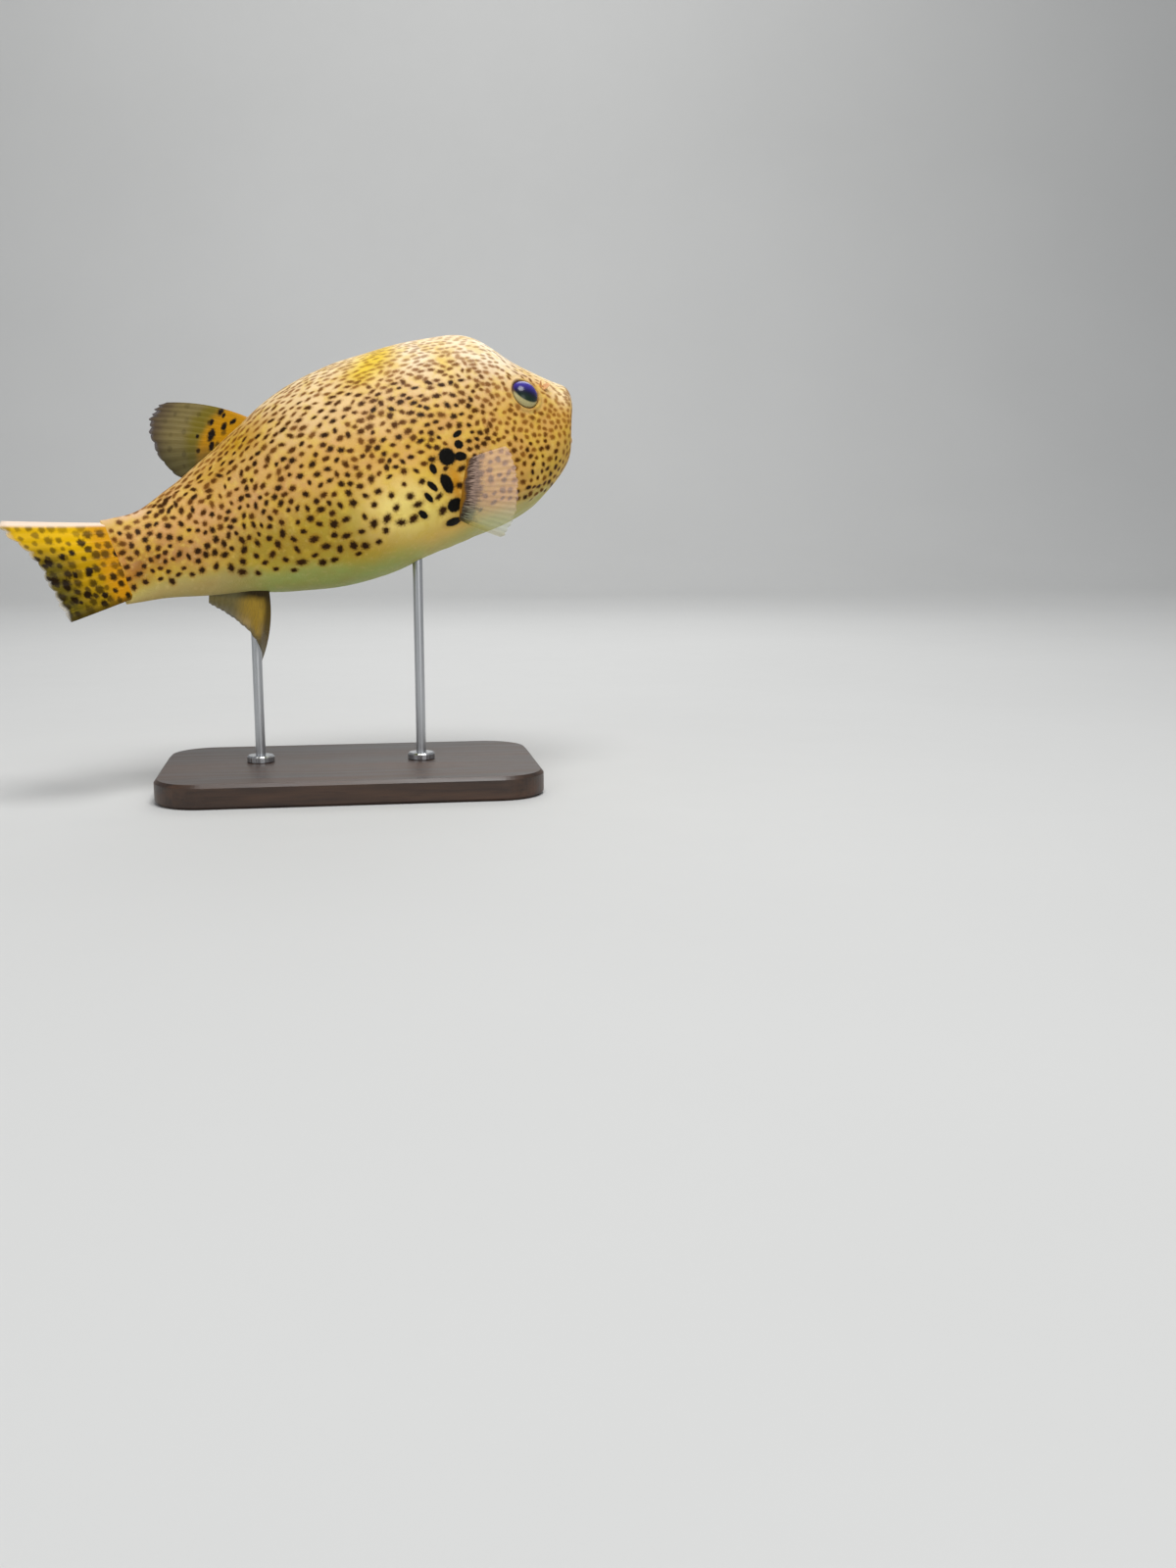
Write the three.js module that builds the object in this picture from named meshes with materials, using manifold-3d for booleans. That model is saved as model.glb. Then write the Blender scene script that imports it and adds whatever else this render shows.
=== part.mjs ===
// Starry puffer (Arothron stellatus), a young yellow fish, as a still life-size model on a display stand.
// Millimetres, +Z up. The fish noses up and to the right (+X); its right flank faces -Y. The origin is the
// centre of the underside of the stand's base.
import * as THREE from "three";
import { mergeVertices } from "three/addons/utils/BufferGeometryUtils.js";
import Module from "manifold-3d";

const wasm = await Module();
wasm.setup();

// Driving dimensions
const MID_BODY = 130; // distance from the snout tip to the point that the fish turns about
const FISH_HEIGHT = 143; // height of that point over the floor
const FISH_SHIFT = [-3.5, 5]; // where that point stands over the base, along X and Y
const PITCH = 16.5; // nose up, in degrees
const BANK = 13; // back away towards +Y, in degrees
const GAP = 0.3; // left between neighbouring solids

const HEAD_END = 8.85; // ring stations where the head ends and where the tail begins
const TAIL_START = 14.35;
const RING_SIDES = 40;

const EYE = { station: 7.12, angle: 19, radius: 7.6, depth: 5.8, proud: 2.8, rim: 1.5 };
const NOSTRIL = { station: 6.42, angle: 37, height: 3.4, width: 2.1, thick: 0.9 };
const GILL = { station: 9.12, angle: -24, length: 15, width: 1.7, depth: 4.5 };
const MOUTH_HEIGHT = 5.1; // of the slit between the jaws, over the body's axis
const TOOTH_SLIT = 0.35;

const DORSAL = { rays: 11, steps: 7, front: 155, back: 182, reach: 46, sink: 5 };
const ANAL = { rays: 10, steps: 7, front: 175, back: 203, reach: 37.5, sink: 5 };
const CAUDAL = { rays: 10, steps: 8, reach: 50.5, root: 237 };
const PECTORAL = { rays: 16, steps: 7, reach: 29, sink: 3 };
const PECTORAL_BASE = { top: [9.14, -15], bottom: [9.5, -57] };
const PECTORAL_LIFT = { left: 38, right: 0 };
const MEMBRANE = 0.6;
const RAY = 1.5;

const BASE = { length: 190, width: 118, thick: 12, corner: 22, chamfer: 1.6 };
const ROD = { radius: 2.5, collar: 7, collarHeight: 3.2, sides: 20 };
const RODS = { front: [36, 3], rear: [-46, 6] };

// Ring stations from the mouth to the tail: the ring's highest and lowest points as distance behind the
// snout tip and height over the body's axis, its half width, its fullness (2 is an ellipse), how far down
// the widest level lies as a share of the half height, and how far back the ring bows at its sides.
const STATIONS = [
  { at: "throat", top: [8, 6.8], bottom: [8, 3.4], half: 6.6, full: 2.2, low: 0, bow: 3 },
  { at: "gum", top: [2.4, 7.3], bottom: [2.9, 3.1], half: 8, full: 2.2, low: 0, bow: 5 },
  { at: "lip crest", top: [-2.2, 9.6], bottom: [0.2, 0.9], half: 10, full: 2, low: 0, bow: 5.6 },
  { at: "lip root", top: [-1.8, 13.2], bottom: [3.4, -2.4], half: 12.8, full: 2, low: 0, bow: 5 },
  { at: "muzzle", top: [-4.8, 20.5], bottom: [6.4, -8.6], half: 16.3, full: 2, low: 0, bow: 4 },
  { at: "snout", top: [-3.9, 29.4], bottom: [12, -14.2], half: 20, full: 2.1, low: 0.05, bow: 3 },
  { at: "nostrils", top: [5.6, 35.4], bottom: [21, -20.5], half: 23.5, full: 2.2, low: 0.08, bow: 1.5 },
  { at: "eyes", top: [23.3, 48.2], bottom: [33, -27], half: 27.5, full: 2.3, low: 0.08, bow: 1 },
  { at: "nape", top: [41, 65], bottom: [48, -31.5], half: 31.5, full: 2.25, low: 0.1, bow: 0 },
  { at: "gills", top: [64, 68.5], bottom: [68, -34.5], half: 35.5, full: 2.2, low: 0.12, bow: 0 },
  { at: "pectorals", top: [89, 68], bottom: [92, -37.5], half: 38.5, full: 2.2, low: 0.14, bow: 0 },
  { at: "deepest", top: [117, 66], bottom: [118, -41], half: 39.5, full: 2.2, low: 0.14, bow: 0 },
  { at: "flank", top: [142, 60.5], bottom: [143, -40], half: 36, full: 2.15, low: 0.12, bow: 0 },
  { at: "dorsal fin", top: [165, 50], bottom: [164, -36], half: 29.5, full: 2.1, low: 0.1, bow: 0 },
  { at: "anal fin", top: [188, 38.3], bottom: [185, -30.5], half: 21.5, full: 2.05, low: 0.06, bow: 0 },
  { at: "haunch", top: [208, 28.5], bottom: [206, -27], half: 13.5, full: 2, low: 0, bow: 0 },
  { at: "peduncle", top: [226, 20.5], bottom: [225, -24.2], half: 8, full: 2, low: 0, bow: 0 },
  { at: "tail root", top: [239, 19.2], bottom: [239, -23.5], half: 4.6, full: 2, low: 0, bow: 0 },
  { at: "tail edge", top: [245, 19], bottom: [245, -23.5], half: 1.6, full: 2, low: 0, bow: 0 },
];

// The spine's heading along the body, in degrees: the head turns away to the left (+Y) and the tail swings
// out to the right (-Y).
const HEADINGS = [
  { from: -20, turn: 18 },
  { from: 60, turn: 15 },
  { from: 115, turn: 3 },
  { from: 160, turn: 1 },
  { from: 205, turn: 18 },
  { from: 245, turn: 31 },
  { from: 310, turn: 36 },
];

const vec = (x, y, z) => new THREE.Vector3(x, y, z);
const radians = THREE.MathUtils.degToRad;
const along = (points) => new THREE.CatmullRomCurve3(points, false, "catmullrom", 0.5);
const lastStation = STATIONS.length - 1;
const topLine = along(STATIONS.map((s) => vec(MID_BODY - s.top[0], 0, s.top[1])));
const bottomLine = along(STATIONS.map((s) => vec(MID_BODY - s.bottom[0], 0, s.bottom[1])));
const formLine = along(STATIONS.map((s) => vec(s.half, s.full, s.low)));
const bowLine = along(STATIONS.map((s) => vec(s.bow, 0, 0)));

// A power of a sine or cosine that keeps its sign, which squares off a ring.
const signedPower = (value, power) => Math.sign(value) * Math.abs(value) ** power;

// A point of the straight body's skin: the station runs from the mouth to the tail, and the angle from
// the left side, 0, over the back, 90, to the right side, 180.
function skin(station, degrees) {
  const t = THREE.MathUtils.clamp(station / lastStation, 0, 1);
  const top = topLine.getPoint(t);
  const bottom = bottomLine.getPoint(t);
  const form = formLine.getPoint(t);
  const power = 2 / form.y;
  const across = signedPower(Math.cos(radians(degrees)), power);
  const up = signedPower(Math.sin(radians(degrees)), power);
  const level = up - form.z * (1 - up * up);
  const point = bottom.lerp(top, (1 + level) / 2);
  return vec(point.x - bowLine.getPoint(t).x * across * across, form.x * across, point.z);
}

// The skin's outward direction, from its two slopes.
function skinNormal(station, degrees) {
  const back = skin(station + 0.02, degrees).sub(skin(station - 0.02, degrees));
  const round = skin(station, degrees + 0.5).sub(skin(station, degrees - 0.5));
  return back.cross(round).normalize();
}

// The height of the skin over the axis on the midline, on the back (angle 90) or the belly (-90).
function midlineHeight(distance, degrees) {
  let low = 4;
  let high = lastStation;
  for (let i = 0; i < 40; i++) {
    const middle = (low + high) / 2;
    if (MID_BODY - skin(middle, degrees).x < distance) low = middle;
    else high = middle;
  }
  return skin((low + high) / 2, degrees).z;
}

// Geometry to solid and back
function solidOf(geometry) {
  const bare = geometry.clone();
  bare.deleteAttribute("normal");
  bare.deleteAttribute("uv");
  const merged = mergeVertices(bare, 1e-4);
  return new wasm.Manifold(
    new wasm.Mesh({
      numProp: 3,
      vertProperties: merged.attributes.position.array,
      triVerts: new Uint32Array(merged.index.array),
    }),
  );
}

function geometryOf(solid) {
  const mesh = solid.getMesh();
  const geometry = new THREE.BufferGeometry();
  geometry.setAttribute("position", new THREE.BufferAttribute(mesh.vertProperties, 3));
  geometry.setIndex(new THREE.BufferAttribute(mesh.triVerts, 1));
  return geometry;
}

// The largest closed surface of a solid.
const largest = (solid) => solid.decompose().sort((a, b) => b.volume() - a.volume())[0];

// A solid from points and triangles that all turn the same way, with its faces set to point outwards.
function closed(points, triangles) {
  const geometry = new THREE.BufferGeometry().setFromPoints(points);
  geometry.setIndex(triangles);
  const solid = solidOf(geometry);
  if (solid.volume() > 0) return solid;
  geometry.setIndex([...triangles].reverse());
  return solidOf(geometry);
}

// A closed tube of rings, each a list of points, with a fan over each end.
function loft(rings) {
  const sides = rings[0].length;
  const points = rings.flat();
  const triangles = [];
  for (let r = 0; r + 1 < rings.length; r++) {
    for (let i = 0; i < sides; i++) {
      const a = r * sides + i;
      const b = r * sides + ((i + 1) % sides);
      triangles.push(a, b, b + sides, a, b + sides, a + sides);
    }
  }
  const addEnd = (ring, first, flip) => {
    const middle = ring.reduce((sum, p) => sum.add(p), vec(0, 0, 0)).divideScalar(sides);
    const centre = points.push(middle) - 1;
    for (let i = 0; i < sides; i++) {
      const pair = [first + i, first + ((i + 1) % sides)];
      if (flip) pair.reverse();
      triangles.push(centre, pair[1], pair[0]);
    }
  };
  addEnd(rings[0], 0, false);
  addEnd(rings[rings.length - 1], (rings.length - 1) * sides, true);
  return closed(points, triangles);
}

// The ring stations between two cuts, closer together where the form turns fast.
function stationsBetween(first, last) {
  const list = [first];
  const step = (station) => (station < 4 ? 0.5 : station < 9 ? 0.33 : 0.3);
  for (let s = first + step(first); s < last - 0.08; s += step(s)) list.push(s);
  list.push(last);
  return list;
}

// A length of the body, grown outwards by a margin.
function bodyLength(first, last, margin = 0) {
  const rings = stationsBetween(first, last).map((station) =>
    Array.from({ length: RING_SIDES }, (_, i) => {
      const degrees = (i * 360) / RING_SIDES;
      const point = skin(station, degrees);
      return margin ? point.addScaledVector(skinNormal(station, degrees), margin) : point;
    }),
  );
  return loft(rings);
}

// A unit shape carried to the skin: its z axis points outwards and its x axis towards the tail.
function onSkin(geometry, station, degrees, lift = 0, lean = 0) {
  const out = skinNormal(station, degrees);
  const back = skin(station + 0.1, degrees).sub(skin(station - 0.1, degrees));
  const tailward = back.addScaledVector(out, -back.dot(out)).normalize();
  const basis = new THREE.Matrix4().makeBasis(tailward, out.clone().cross(tailward), out);
  const place = skin(station, degrees).addScaledVector(out, lift);
  geometry.rotateY(radians(lean));
  return solidOf(geometry.applyMatrix4(basis.setPosition(place)));
}

// Head
const mirrored = (degrees, side) => (side === "left" ? degrees : 180 - degrees);

function eyeball(side, margin) {
  const ball = new THREE.SphereGeometry(1, 20, 14);
  const radius = EYE.radius + margin;
  ball.rotateX(Math.PI / 2).scale(radius, radius, EYE.depth + margin);
  return onSkin(ball, EYE.station, mirrored(EYE.angle, side), EYE.proud - EYE.depth * 0.62);
}

// The fold of skin that rings the eye.
function eyeRim(side) {
  const ring = new THREE.TorusGeometry(EYE.radius + EYE.rim * 0.55, EYE.rim, 6, 26);
  return onSkin(ring, EYE.station, mirrored(EYE.angle, side), 0.1);
}

// The two fleshy flaps of a nostril, one leaning forwards and one back.
function nostrilFlaps(side) {
  return [-1, 1].map((turn) => {
    const flap = new THREE.SphereGeometry(1, 8, 6);
    flap.scale(NOSTRIL.thick, NOSTRIL.width, NOSTRIL.height).translate(turn * 1.2, 0, NOSTRIL.height * 0.35);
    return onSkin(flap, NOSTRIL.station, mirrored(NOSTRIL.angle, side), 0, turn * 24);
  });
}

function headSolid() {
  let head = bodyLength(0, HEAD_END);
  for (const side of ["left", "right"]) {
    head = head.add(eyeRim(side)).subtract(eyeball(side, GAP));
    for (const flap of nostrilFlaps(side)) head = head.add(flap);
  }
  return largest(head);
}

// The beak: two plates that fill the mouth, with the slit between the jaws.
function toothPlate(upper) {
  const sign = upper ? 1 : -1;
  const sections = [
    { back: 7.4, half: 5.8, high: 1.25, bow: 3 },
    { back: 3.4, half: 7.1, high: 1.55, bow: 4.4 },
    { back: 0.9, half: 6.9, high: 1.7, bow: 4.8 },
    { back: -0.2, half: 6, high: 1.05, bow: 4.6 },
  ];
  const steps = 14;
  const rings = sections.map(({ back, half, high, bow }) =>
    Array.from({ length: steps + 1 }, (_, i) => {
      const angle = (Math.PI * i) / steps;
      const across = Math.cos(angle);
      const rise = TOOTH_SLIT / 2 + high * Math.sin(angle);
      return vec(MID_BODY - back - bow * across * across, half * across, MOUTH_HEIGHT + sign * rise);
    }),
  );
  return largest(loft(rings).subtract(bodyLength(0, 6, GAP)));
}

// Trunk
// The gill opening is a short upright slit with a swollen lip, just before the pectoral fin.
function gillSlit(side) {
  const slit = new THREE.SphereGeometry(1, 12, 8);
  slit.scale(GILL.width / 2, GILL.length / 2, GILL.depth);
  return onSkin(slit, GILL.station, mirrored(GILL.angle, side), 0, -18);
}

function gillLip(side) {
  const lip = new THREE.SphereGeometry(1, 12, 8);
  lip.scale(1.7, GILL.length / 2 + 1.5, 1.9).translate(-1.9, 0, 0);
  return onSkin(lip, GILL.station, mirrored(GILL.angle, side), -0.6);
}

function trunkSolid() {
  let trunk = bodyLength(HEAD_END + 0.016, TAIL_START);
  for (const side of ["left", "right"]) trunk = trunk.add(gillLip(side)).subtract(gillSlit(side));
  return largest(trunk);
}

const tailSolid = () => largest(bodyLength(TAIL_START + 0.014, lastStation));

// Fins
// Columns across a fin: three for each ray, its crest and its two feet, and one at each edge.
function finColumns(rays) {
  const columns = [{ across: 0, crest: 0 }];
  const foot = 0.27 / rays;
  for (let i = 0; i < rays; i++) {
    const middle = (i + 0.5) / rays;
    columns.push({ across: middle - foot, crest: 0 });
    columns.push({ across: middle, crest: 1 });
    columns.push({ across: middle + foot, crest: 0 });
  }
  return [...columns, { across: 1, crest: 0 }];
}

// A fin as one closed blade: place(across, outwards) gives its middle surface, and the thickness is the
// membrane's, with a ridge along each ray and a fleshy lobe at the root.
function blade({ rays, steps }, place, lobe) {
  const columns = finColumns(rays);
  const faces = [1, -1].map((face) => {
    const points = [];
    for (let j = 0; j <= steps; j++) {
      for (const { across, crest } of columns) {
        const out = j / steps;
        const middle = place(across, out);
        const e = 0.01;
        const [right, left] = [Math.min(across + e, 1), Math.max(across - e, 0)];
        const sideways = place(right, out).sub(place(left, out));
        const outwards = place(across, out + e).sub(place(across, out - e));
        const normal = sideways.cross(outwards).normalize();
        const body = Math.sqrt(Math.max(0, 1 - (2 * across - 1) ** 2));
        const fleshy = lobe.thick * body * Math.exp(-((out / lobe.reach) ** 2));
        const ridge = crest * (RAY - MEMBRANE) * (1 - 0.75 * out);
        const thick = MEMBRANE * (1 - 0.2 * out) + fleshy + ridge;
        points.push(middle.addScaledVector(normal, (face * thick) / 2));
      }
    }
    return points;
  });
  const wide = columns.length;
  const layer = faces[0].length;
  const triangles = [];
  const quad = (a, b, c, d) => triangles.push(a, b, c, a, c, d);
  for (let j = 0; j < steps; j++) {
    for (let i = 0; i + 1 < wide; i++) {
      const a = j * wide + i;
      const corners = [a, a + 1, a + wide + 1, a + wide];
      quad(...corners);
      const under = corners.map((c) => c + layer);
      triangles.push(under[0], under[2], under[1], under[0], under[3], under[2]);
    }
    const left = j * wide;
    const right = left + wide - 1;
    quad(left, left + wide, left + wide + layer, left + layer);
    quad(right, right + layer, right + wide + layer, right + wide);
  }
  for (let i = 0; i + 1 < wide; i++) {
    const tip = steps * wide + i;
    quad(i, i + layer, i + 1 + layer, i + 1);
    quad(tip, tip + 1, tip + 1 + layer, tip + layer);
  }
  return closed(faces.flat(), triangles);
}

// A direction in the fish's own upright plane, turned sideways: elevation over straight back, and yaw to
// the left (+Y).
function heading(elevation, yaw) {
  const flat = Math.cos(radians(elevation));
  return vec(
    -flat * Math.cos(radians(yaw)),
    flat * Math.sin(radians(yaw)),
    Math.sin(radians(elevation)),
  );
}

const mix = THREE.MathUtils.lerp;

// A point on a ray that leaves its root in one direction and ends in another.
function onRay(root, first, last, length, out) {
  const turn = last.clone().sub(first).multiplyScalar((out * out) / 2);
  return root.clone().addScaledVector(first.clone().multiplyScalar(out).add(turn), length);
}

// The dorsal fin is a short rounded paddle that sweeps back, leaning a little to the left.
function dorsalPlace(across, out) {
  const distance = mix(DORSAL.front, DORSAL.back, across);
  const root = vec(MID_BODY - distance, 0, midlineHeight(distance, 90) - DORSAL.sink);
  const elevation = mix(30, 24, across) - 34 * across ** 4;
  const length = DORSAL.reach * (1 - 0.72 * across ** 2.2) + DORSAL.sink;
  const curve = 14 * (1 - across);
  return onRay(root, heading(elevation + curve, 4), heading(elevation - curve, 22), length, out);
}

// The anal fin hangs from its front ray and curls away to the left behind it.
function analPlace(across, out) {
  const distance = mix(ANAL.front, ANAL.back, across);
  const root = vec(MID_BODY - distance, 0, midlineHeight(distance, -90) + ANAL.sink);
  const elevation = mix(-72, -44, across);
  const yaw = mix(0, 70, across ** 0.7);
  const length = ANAL.reach * (1 - 0.82 * across ** 0.42) + ANAL.sink;
  return onRay(root, heading(elevation - 12, yaw), heading(elevation + 21, yaw + 20), length, out);
}

// The tail fin fans out from the edge of the tail, with its lower rays curled out to the right.
function caudalPlace(across, out) {
  const root = vec(MID_BODY - CAUDAL.root, 0, mix(16.5, -20.5, across));
  const elevation = mix(9, -12, across);
  const shorter = 0.22 * THREE.MathUtils.smoothstep(across, 0, 0.45);
  const length = CAUDAL.reach * (1 - shorter) + (245 - CAUDAL.root);
  const yaw = -12 * across;
  return onRay(root, heading(elevation, yaw), heading(elevation, yaw - 10 * across), length, out);
}

// The pectoral fins are swung forwards and out, so that they stand over the cheeks.
function pectoralPlace(side, across, out) {
  const sign = side === "left" ? 1 : -1;
  const [station, angle] = PECTORAL_BASE.top.map((v, i) => mix(v, PECTORAL_BASE.bottom[i], across));
  const degrees = mirrored(angle, side);
  const inwards = skinNormal(station, degrees).multiplyScalar(-PECTORAL.sink);
  const root = skin(station, degrees).add(inwards);
  const elevation = mix(-5, -40, across) + PECTORAL_LIFT[side];
  const ray = (spread) => {
    const level = Math.cos(radians(elevation));
    const [x, y] = [Math.cos(radians(spread)), sign * Math.sin(radians(spread))];
    return vec(level * x, level * y, Math.sin(radians(elevation)));
  };
  const length = PECTORAL.reach * (0.5 + 0.5 * Math.sin(Math.PI * mix(0.1, 0.78, across)) ** 0.6);
  return onRay(root, ray(68), ray(30), length + PECTORAL.sink, out);
}

// Pose: the straight fish bends along its spine
const spine = [vec(0, 0, 0)];
const SPINE_STEP = 1;
const SPINE_FIRST = -40;
const SPINE_LAST = 320;
function headingAt(distance) {
  const next = HEADINGS.findIndex((h) => h.from > distance);
  if (next === 0) return radians(HEADINGS[0].turn);
  if (next < 0) return radians(HEADINGS[HEADINGS.length - 1].turn);
  const [a, b] = [HEADINGS[next - 1], HEADINGS[next]];
  const share = THREE.MathUtils.smoothstep(distance, a.from, b.from);
  return radians(mix(a.turn, b.turn, mix((distance - a.from) / (b.from - a.from), share, 0.5)));
}
for (let d = SPINE_FIRST; d < SPINE_LAST; d += SPINE_STEP) {
  const turn = headingAt(d + SPINE_STEP / 2);
  const last = spine[spine.length - 1];
  spine.push(vec(last.x - SPINE_STEP * Math.cos(turn), last.y - SPINE_STEP * Math.sin(turn), 0));
}
const spinePoint = (distance) => {
  const place = (distance - SPINE_FIRST) / SPINE_STEP;
  const i = THREE.MathUtils.clamp(Math.floor(place), 0, spine.length - 2);
  return spine[i].clone().lerp(spine[i + 1], place - i);
};
const spineMiddle = spinePoint(MID_BODY);

function bend(point) {
  const distance = MID_BODY - point.x;
  const turn = headingAt(distance);
  const onSpine = spinePoint(distance).sub(spineMiddle);
  return onSpine.add(vec(-Math.sin(turn) * point.y, Math.cos(turn) * point.y, point.z));
}

function bent(solid) {
  const geometry = geometryOf(solid);
  const position = geometry.getAttribute("position");
  const point = vec(0, 0, 0);
  for (let i = 0; i < position.count; i++) {
    point.fromBufferAttribute(position, i).copy(bend(point));
    position.setXYZ(i, point.x, point.y, point.z);
  }
  return geometry;
}

// Materials
const finish = (color, roughness, metalness = 0) =>
  new THREE.MeshStandardMaterial({ color, roughness, metalness });
const skinFinish = finish(0xcfa24a, 0.45);
const finFinish = finish(0xc9a063, 0.4);
const tailFinish = finish(0xd9a514, 0.4);
const darkFinFinish = finish(0x5d5138, 0.45);
const eyeFinish = finish(0x14161f, 0.1);
const toothFinish = finish(0xe9e2cf, 0.3);
const baseFinish = finish(0x33241a, 0.45);
const steelFinish = finish(0xb9bcc0, 0.3, 1);

const model = new THREE.Group();
const fish = new THREE.Group();
fish.rotation.set(-radians(BANK), -radians(PITCH), 0, "YXZ");
fish.position.set(...FISH_SHIFT, FISH_HEIGHT);
model.add(fish);
fish.updateMatrixWorld(true);

function addNode(parent, name, geometry, material) {
  const mesh = new THREE.Mesh(geometry, material);
  mesh.name = name;
  parent.add(mesh);
  return mesh;
}

addNode(fish, "head", bent(headSolid()), skinFinish);
const trunk = bent(trunkSolid());
addNode(fish, "trunk", trunk, skinFinish);
addNode(fish, "tail", bent(tailSolid()), skinFinish);
addNode(fish, "tooth_upper", bent(toothPlate(true)), toothFinish);
addNode(fish, "tooth_lower", bent(toothPlate(false)), toothFinish);
for (const side of ["left", "right"]) {
  addNode(fish, `eye_${side}`, bent(eyeball(side, 0)), eyeFinish);
}

const grownBody = bodyLength(3, lastStation, GAP);
const rooted = (solid) => bent(largest(solid.subtract(grownBody)));
const flatLobe = { thick: 7, reach: 0.2 };
addNode(fish, "fin_dorsal", rooted(blade(DORSAL, dorsalPlace, flatLobe)), darkFinFinish);
addNode(fish, "fin_anal", rooted(blade(ANAL, analPlace, flatLobe)), darkFinFinish);
const tailLobe = { thick: 4.5, reach: 0.3 };
addNode(fish, "fin_caudal", rooted(blade(CAUDAL, caudalPlace, tailLobe)), tailFinish);
for (const side of ["left", "right"]) {
  const place = (across, out) => pectoralPlace(side, across, out);
  const lips = gillLip(side);
  const fin = blade(PECTORAL, place, { thick: 6, reach: 0.24 }).subtract(lips);
  addNode(fish, `fin_pectoral_${side}`, rooted(fin), finFinish);
}

// Stand
function baseSolid() {
  const shape = new THREE.Shape();
  const [x, y] = [BASE.length / 2 - BASE.chamfer, BASE.width / 2 - BASE.chamfer];
  const r = BASE.corner;
  shape.absarc(x - r, y - r, r, 0, Math.PI / 2);
  shape.absarc(-x + r, y - r, r, Math.PI / 2, Math.PI);
  shape.absarc(-x + r, -y + r, r, Math.PI, Math.PI * 1.5);
  shape.absarc(x - r, -y + r, r, Math.PI * 1.5, Math.PI * 2);
  const slab = new THREE.ExtrudeGeometry(shape, {
    depth: BASE.thick - 2 * BASE.chamfer,
    bevelEnabled: true,
    bevelThickness: BASE.chamfer,
    bevelSize: BASE.chamfer,
    bevelSegments: 1,
    curveSegments: 8,
  });
  return slab.translate(0, 0, BASE.chamfer);
}

// A rod with a small collar on the base, cut off just under the belly.
function rodSolid([x, y]) {
  const low = BASE.thick + GAP;
  const profile = [
    [0, 0],
    [ROD.collar, 0],
    [ROD.collar, ROD.collarHeight - 0.8],
    [ROD.collar - 0.8, ROD.collarHeight],
    [ROD.radius, ROD.collarHeight],
    [ROD.radius, FISH_HEIGHT - low],
    [0, FISH_HEIGHT - low],
  ].map(([radius, height]) => new THREE.Vector2(radius, height));
  const rod = new THREE.LatheGeometry(profile, ROD.sides).rotateX(Math.PI / 2);
  const whole = solidOf(rod.translate(x, y, low));
  const belly = solidOf(trunk.clone().applyMatrix4(fish.matrixWorld).translate(0, 0, -GAP));
  const pieces = whole.subtract(belly).decompose();
  return pieces.sort((a, b) => a.boundingBox().min[2] - b.boundingBox().min[2])[0];
}

addNode(model, "stand_base", baseSolid(), baseFinish);
for (const [place, at] of Object.entries(RODS)) {
  addNode(model, `stand_rod_${place}`, geometryOf(rodSolid(at)), steelFinish);
}

export default model;
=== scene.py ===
import math
import random

import bpy
import numpy as np
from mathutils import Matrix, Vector


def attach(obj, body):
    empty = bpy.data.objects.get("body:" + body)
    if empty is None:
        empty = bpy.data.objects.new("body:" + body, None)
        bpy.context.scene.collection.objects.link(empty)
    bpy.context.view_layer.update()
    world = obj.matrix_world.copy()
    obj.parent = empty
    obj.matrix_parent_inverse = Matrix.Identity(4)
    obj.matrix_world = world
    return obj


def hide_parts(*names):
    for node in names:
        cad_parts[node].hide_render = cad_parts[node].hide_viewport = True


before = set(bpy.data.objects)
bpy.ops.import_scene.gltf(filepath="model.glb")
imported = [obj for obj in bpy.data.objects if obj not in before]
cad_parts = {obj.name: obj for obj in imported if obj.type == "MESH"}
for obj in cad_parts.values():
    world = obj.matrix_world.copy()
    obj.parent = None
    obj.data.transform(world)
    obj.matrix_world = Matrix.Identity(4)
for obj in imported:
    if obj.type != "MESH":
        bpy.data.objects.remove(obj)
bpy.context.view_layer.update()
MM = 0.001

# Form: the same named values as the part's source
MID_BODY = 130.0
TAIL_EDGE = 245
FISH_PLACE = (-3.5, 5.0, 143.0)
PITCH, BANK = 16.5, 13.0

STATIONS = [  # top (distance, height), bottom (distance, height), half width, fullness, low, bow
    ((8, 6.8), (8, 3.4), 6.6, 2.2, 0, 3),  # throat
    ((2.4, 7.3), (2.9, 3.1), 8, 2.2, 0, 5),  # gum
    ((-2.2, 9.6), (0.2, 0.9), 10, 2, 0, 5.6),  # lip crest
    ((-1.8, 13.2), (3.4, -2.4), 12.8, 2, 0, 5),  # lip root
    ((-4.8, 20.5), (6.4, -8.6), 16.3, 2, 0, 4),  # muzzle
    ((-3.9, 29.4), (12, -14.2), 20, 2.1, 0.05, 3),  # snout
    ((5.6, 35.4), (21, -20.5), 23.5, 2.2, 0.08, 1.5),  # nostrils
    ((23.3, 48.2), (33, -27), 27.5, 2.3, 0.08, 1),  # eyes
    ((41, 65), (48, -31.5), 31.5, 2.25, 0.1, 0),  # nape
    ((64, 68.5), (68, -34.5), 35.5, 2.2, 0.12, 0),  # gills
    ((89, 68), (92, -37.5), 38.5, 2.2, 0.14, 0),  # pectorals
    ((117, 66), (118, -41), 39.5, 2.2, 0.14, 0),  # deepest
    ((142, 60.5), (143, -40), 36, 2.15, 0.12, 0),  # flank
    ((165, 50), (164, -36), 29.5, 2.1, 0.1, 0),  # dorsal fin
    ((188, 38.3), (185, -30.5), 21.5, 2.05, 0.06, 0),  # anal fin
    ((208, 28.5), (206, -27), 13.5, 2, 0, 0),  # haunch
    ((226, 20.5), (225, -24.2), 8, 2, 0, 0),  # peduncle
    ((239, 19.2), (239, -23.5), 4.6, 2, 0, 0),  # tail root
    ((245, 19), (245, -23.5), 1.6, 2, 0, 0),  # tail edge
]
LAST = len(STATIONS) - 1
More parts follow.
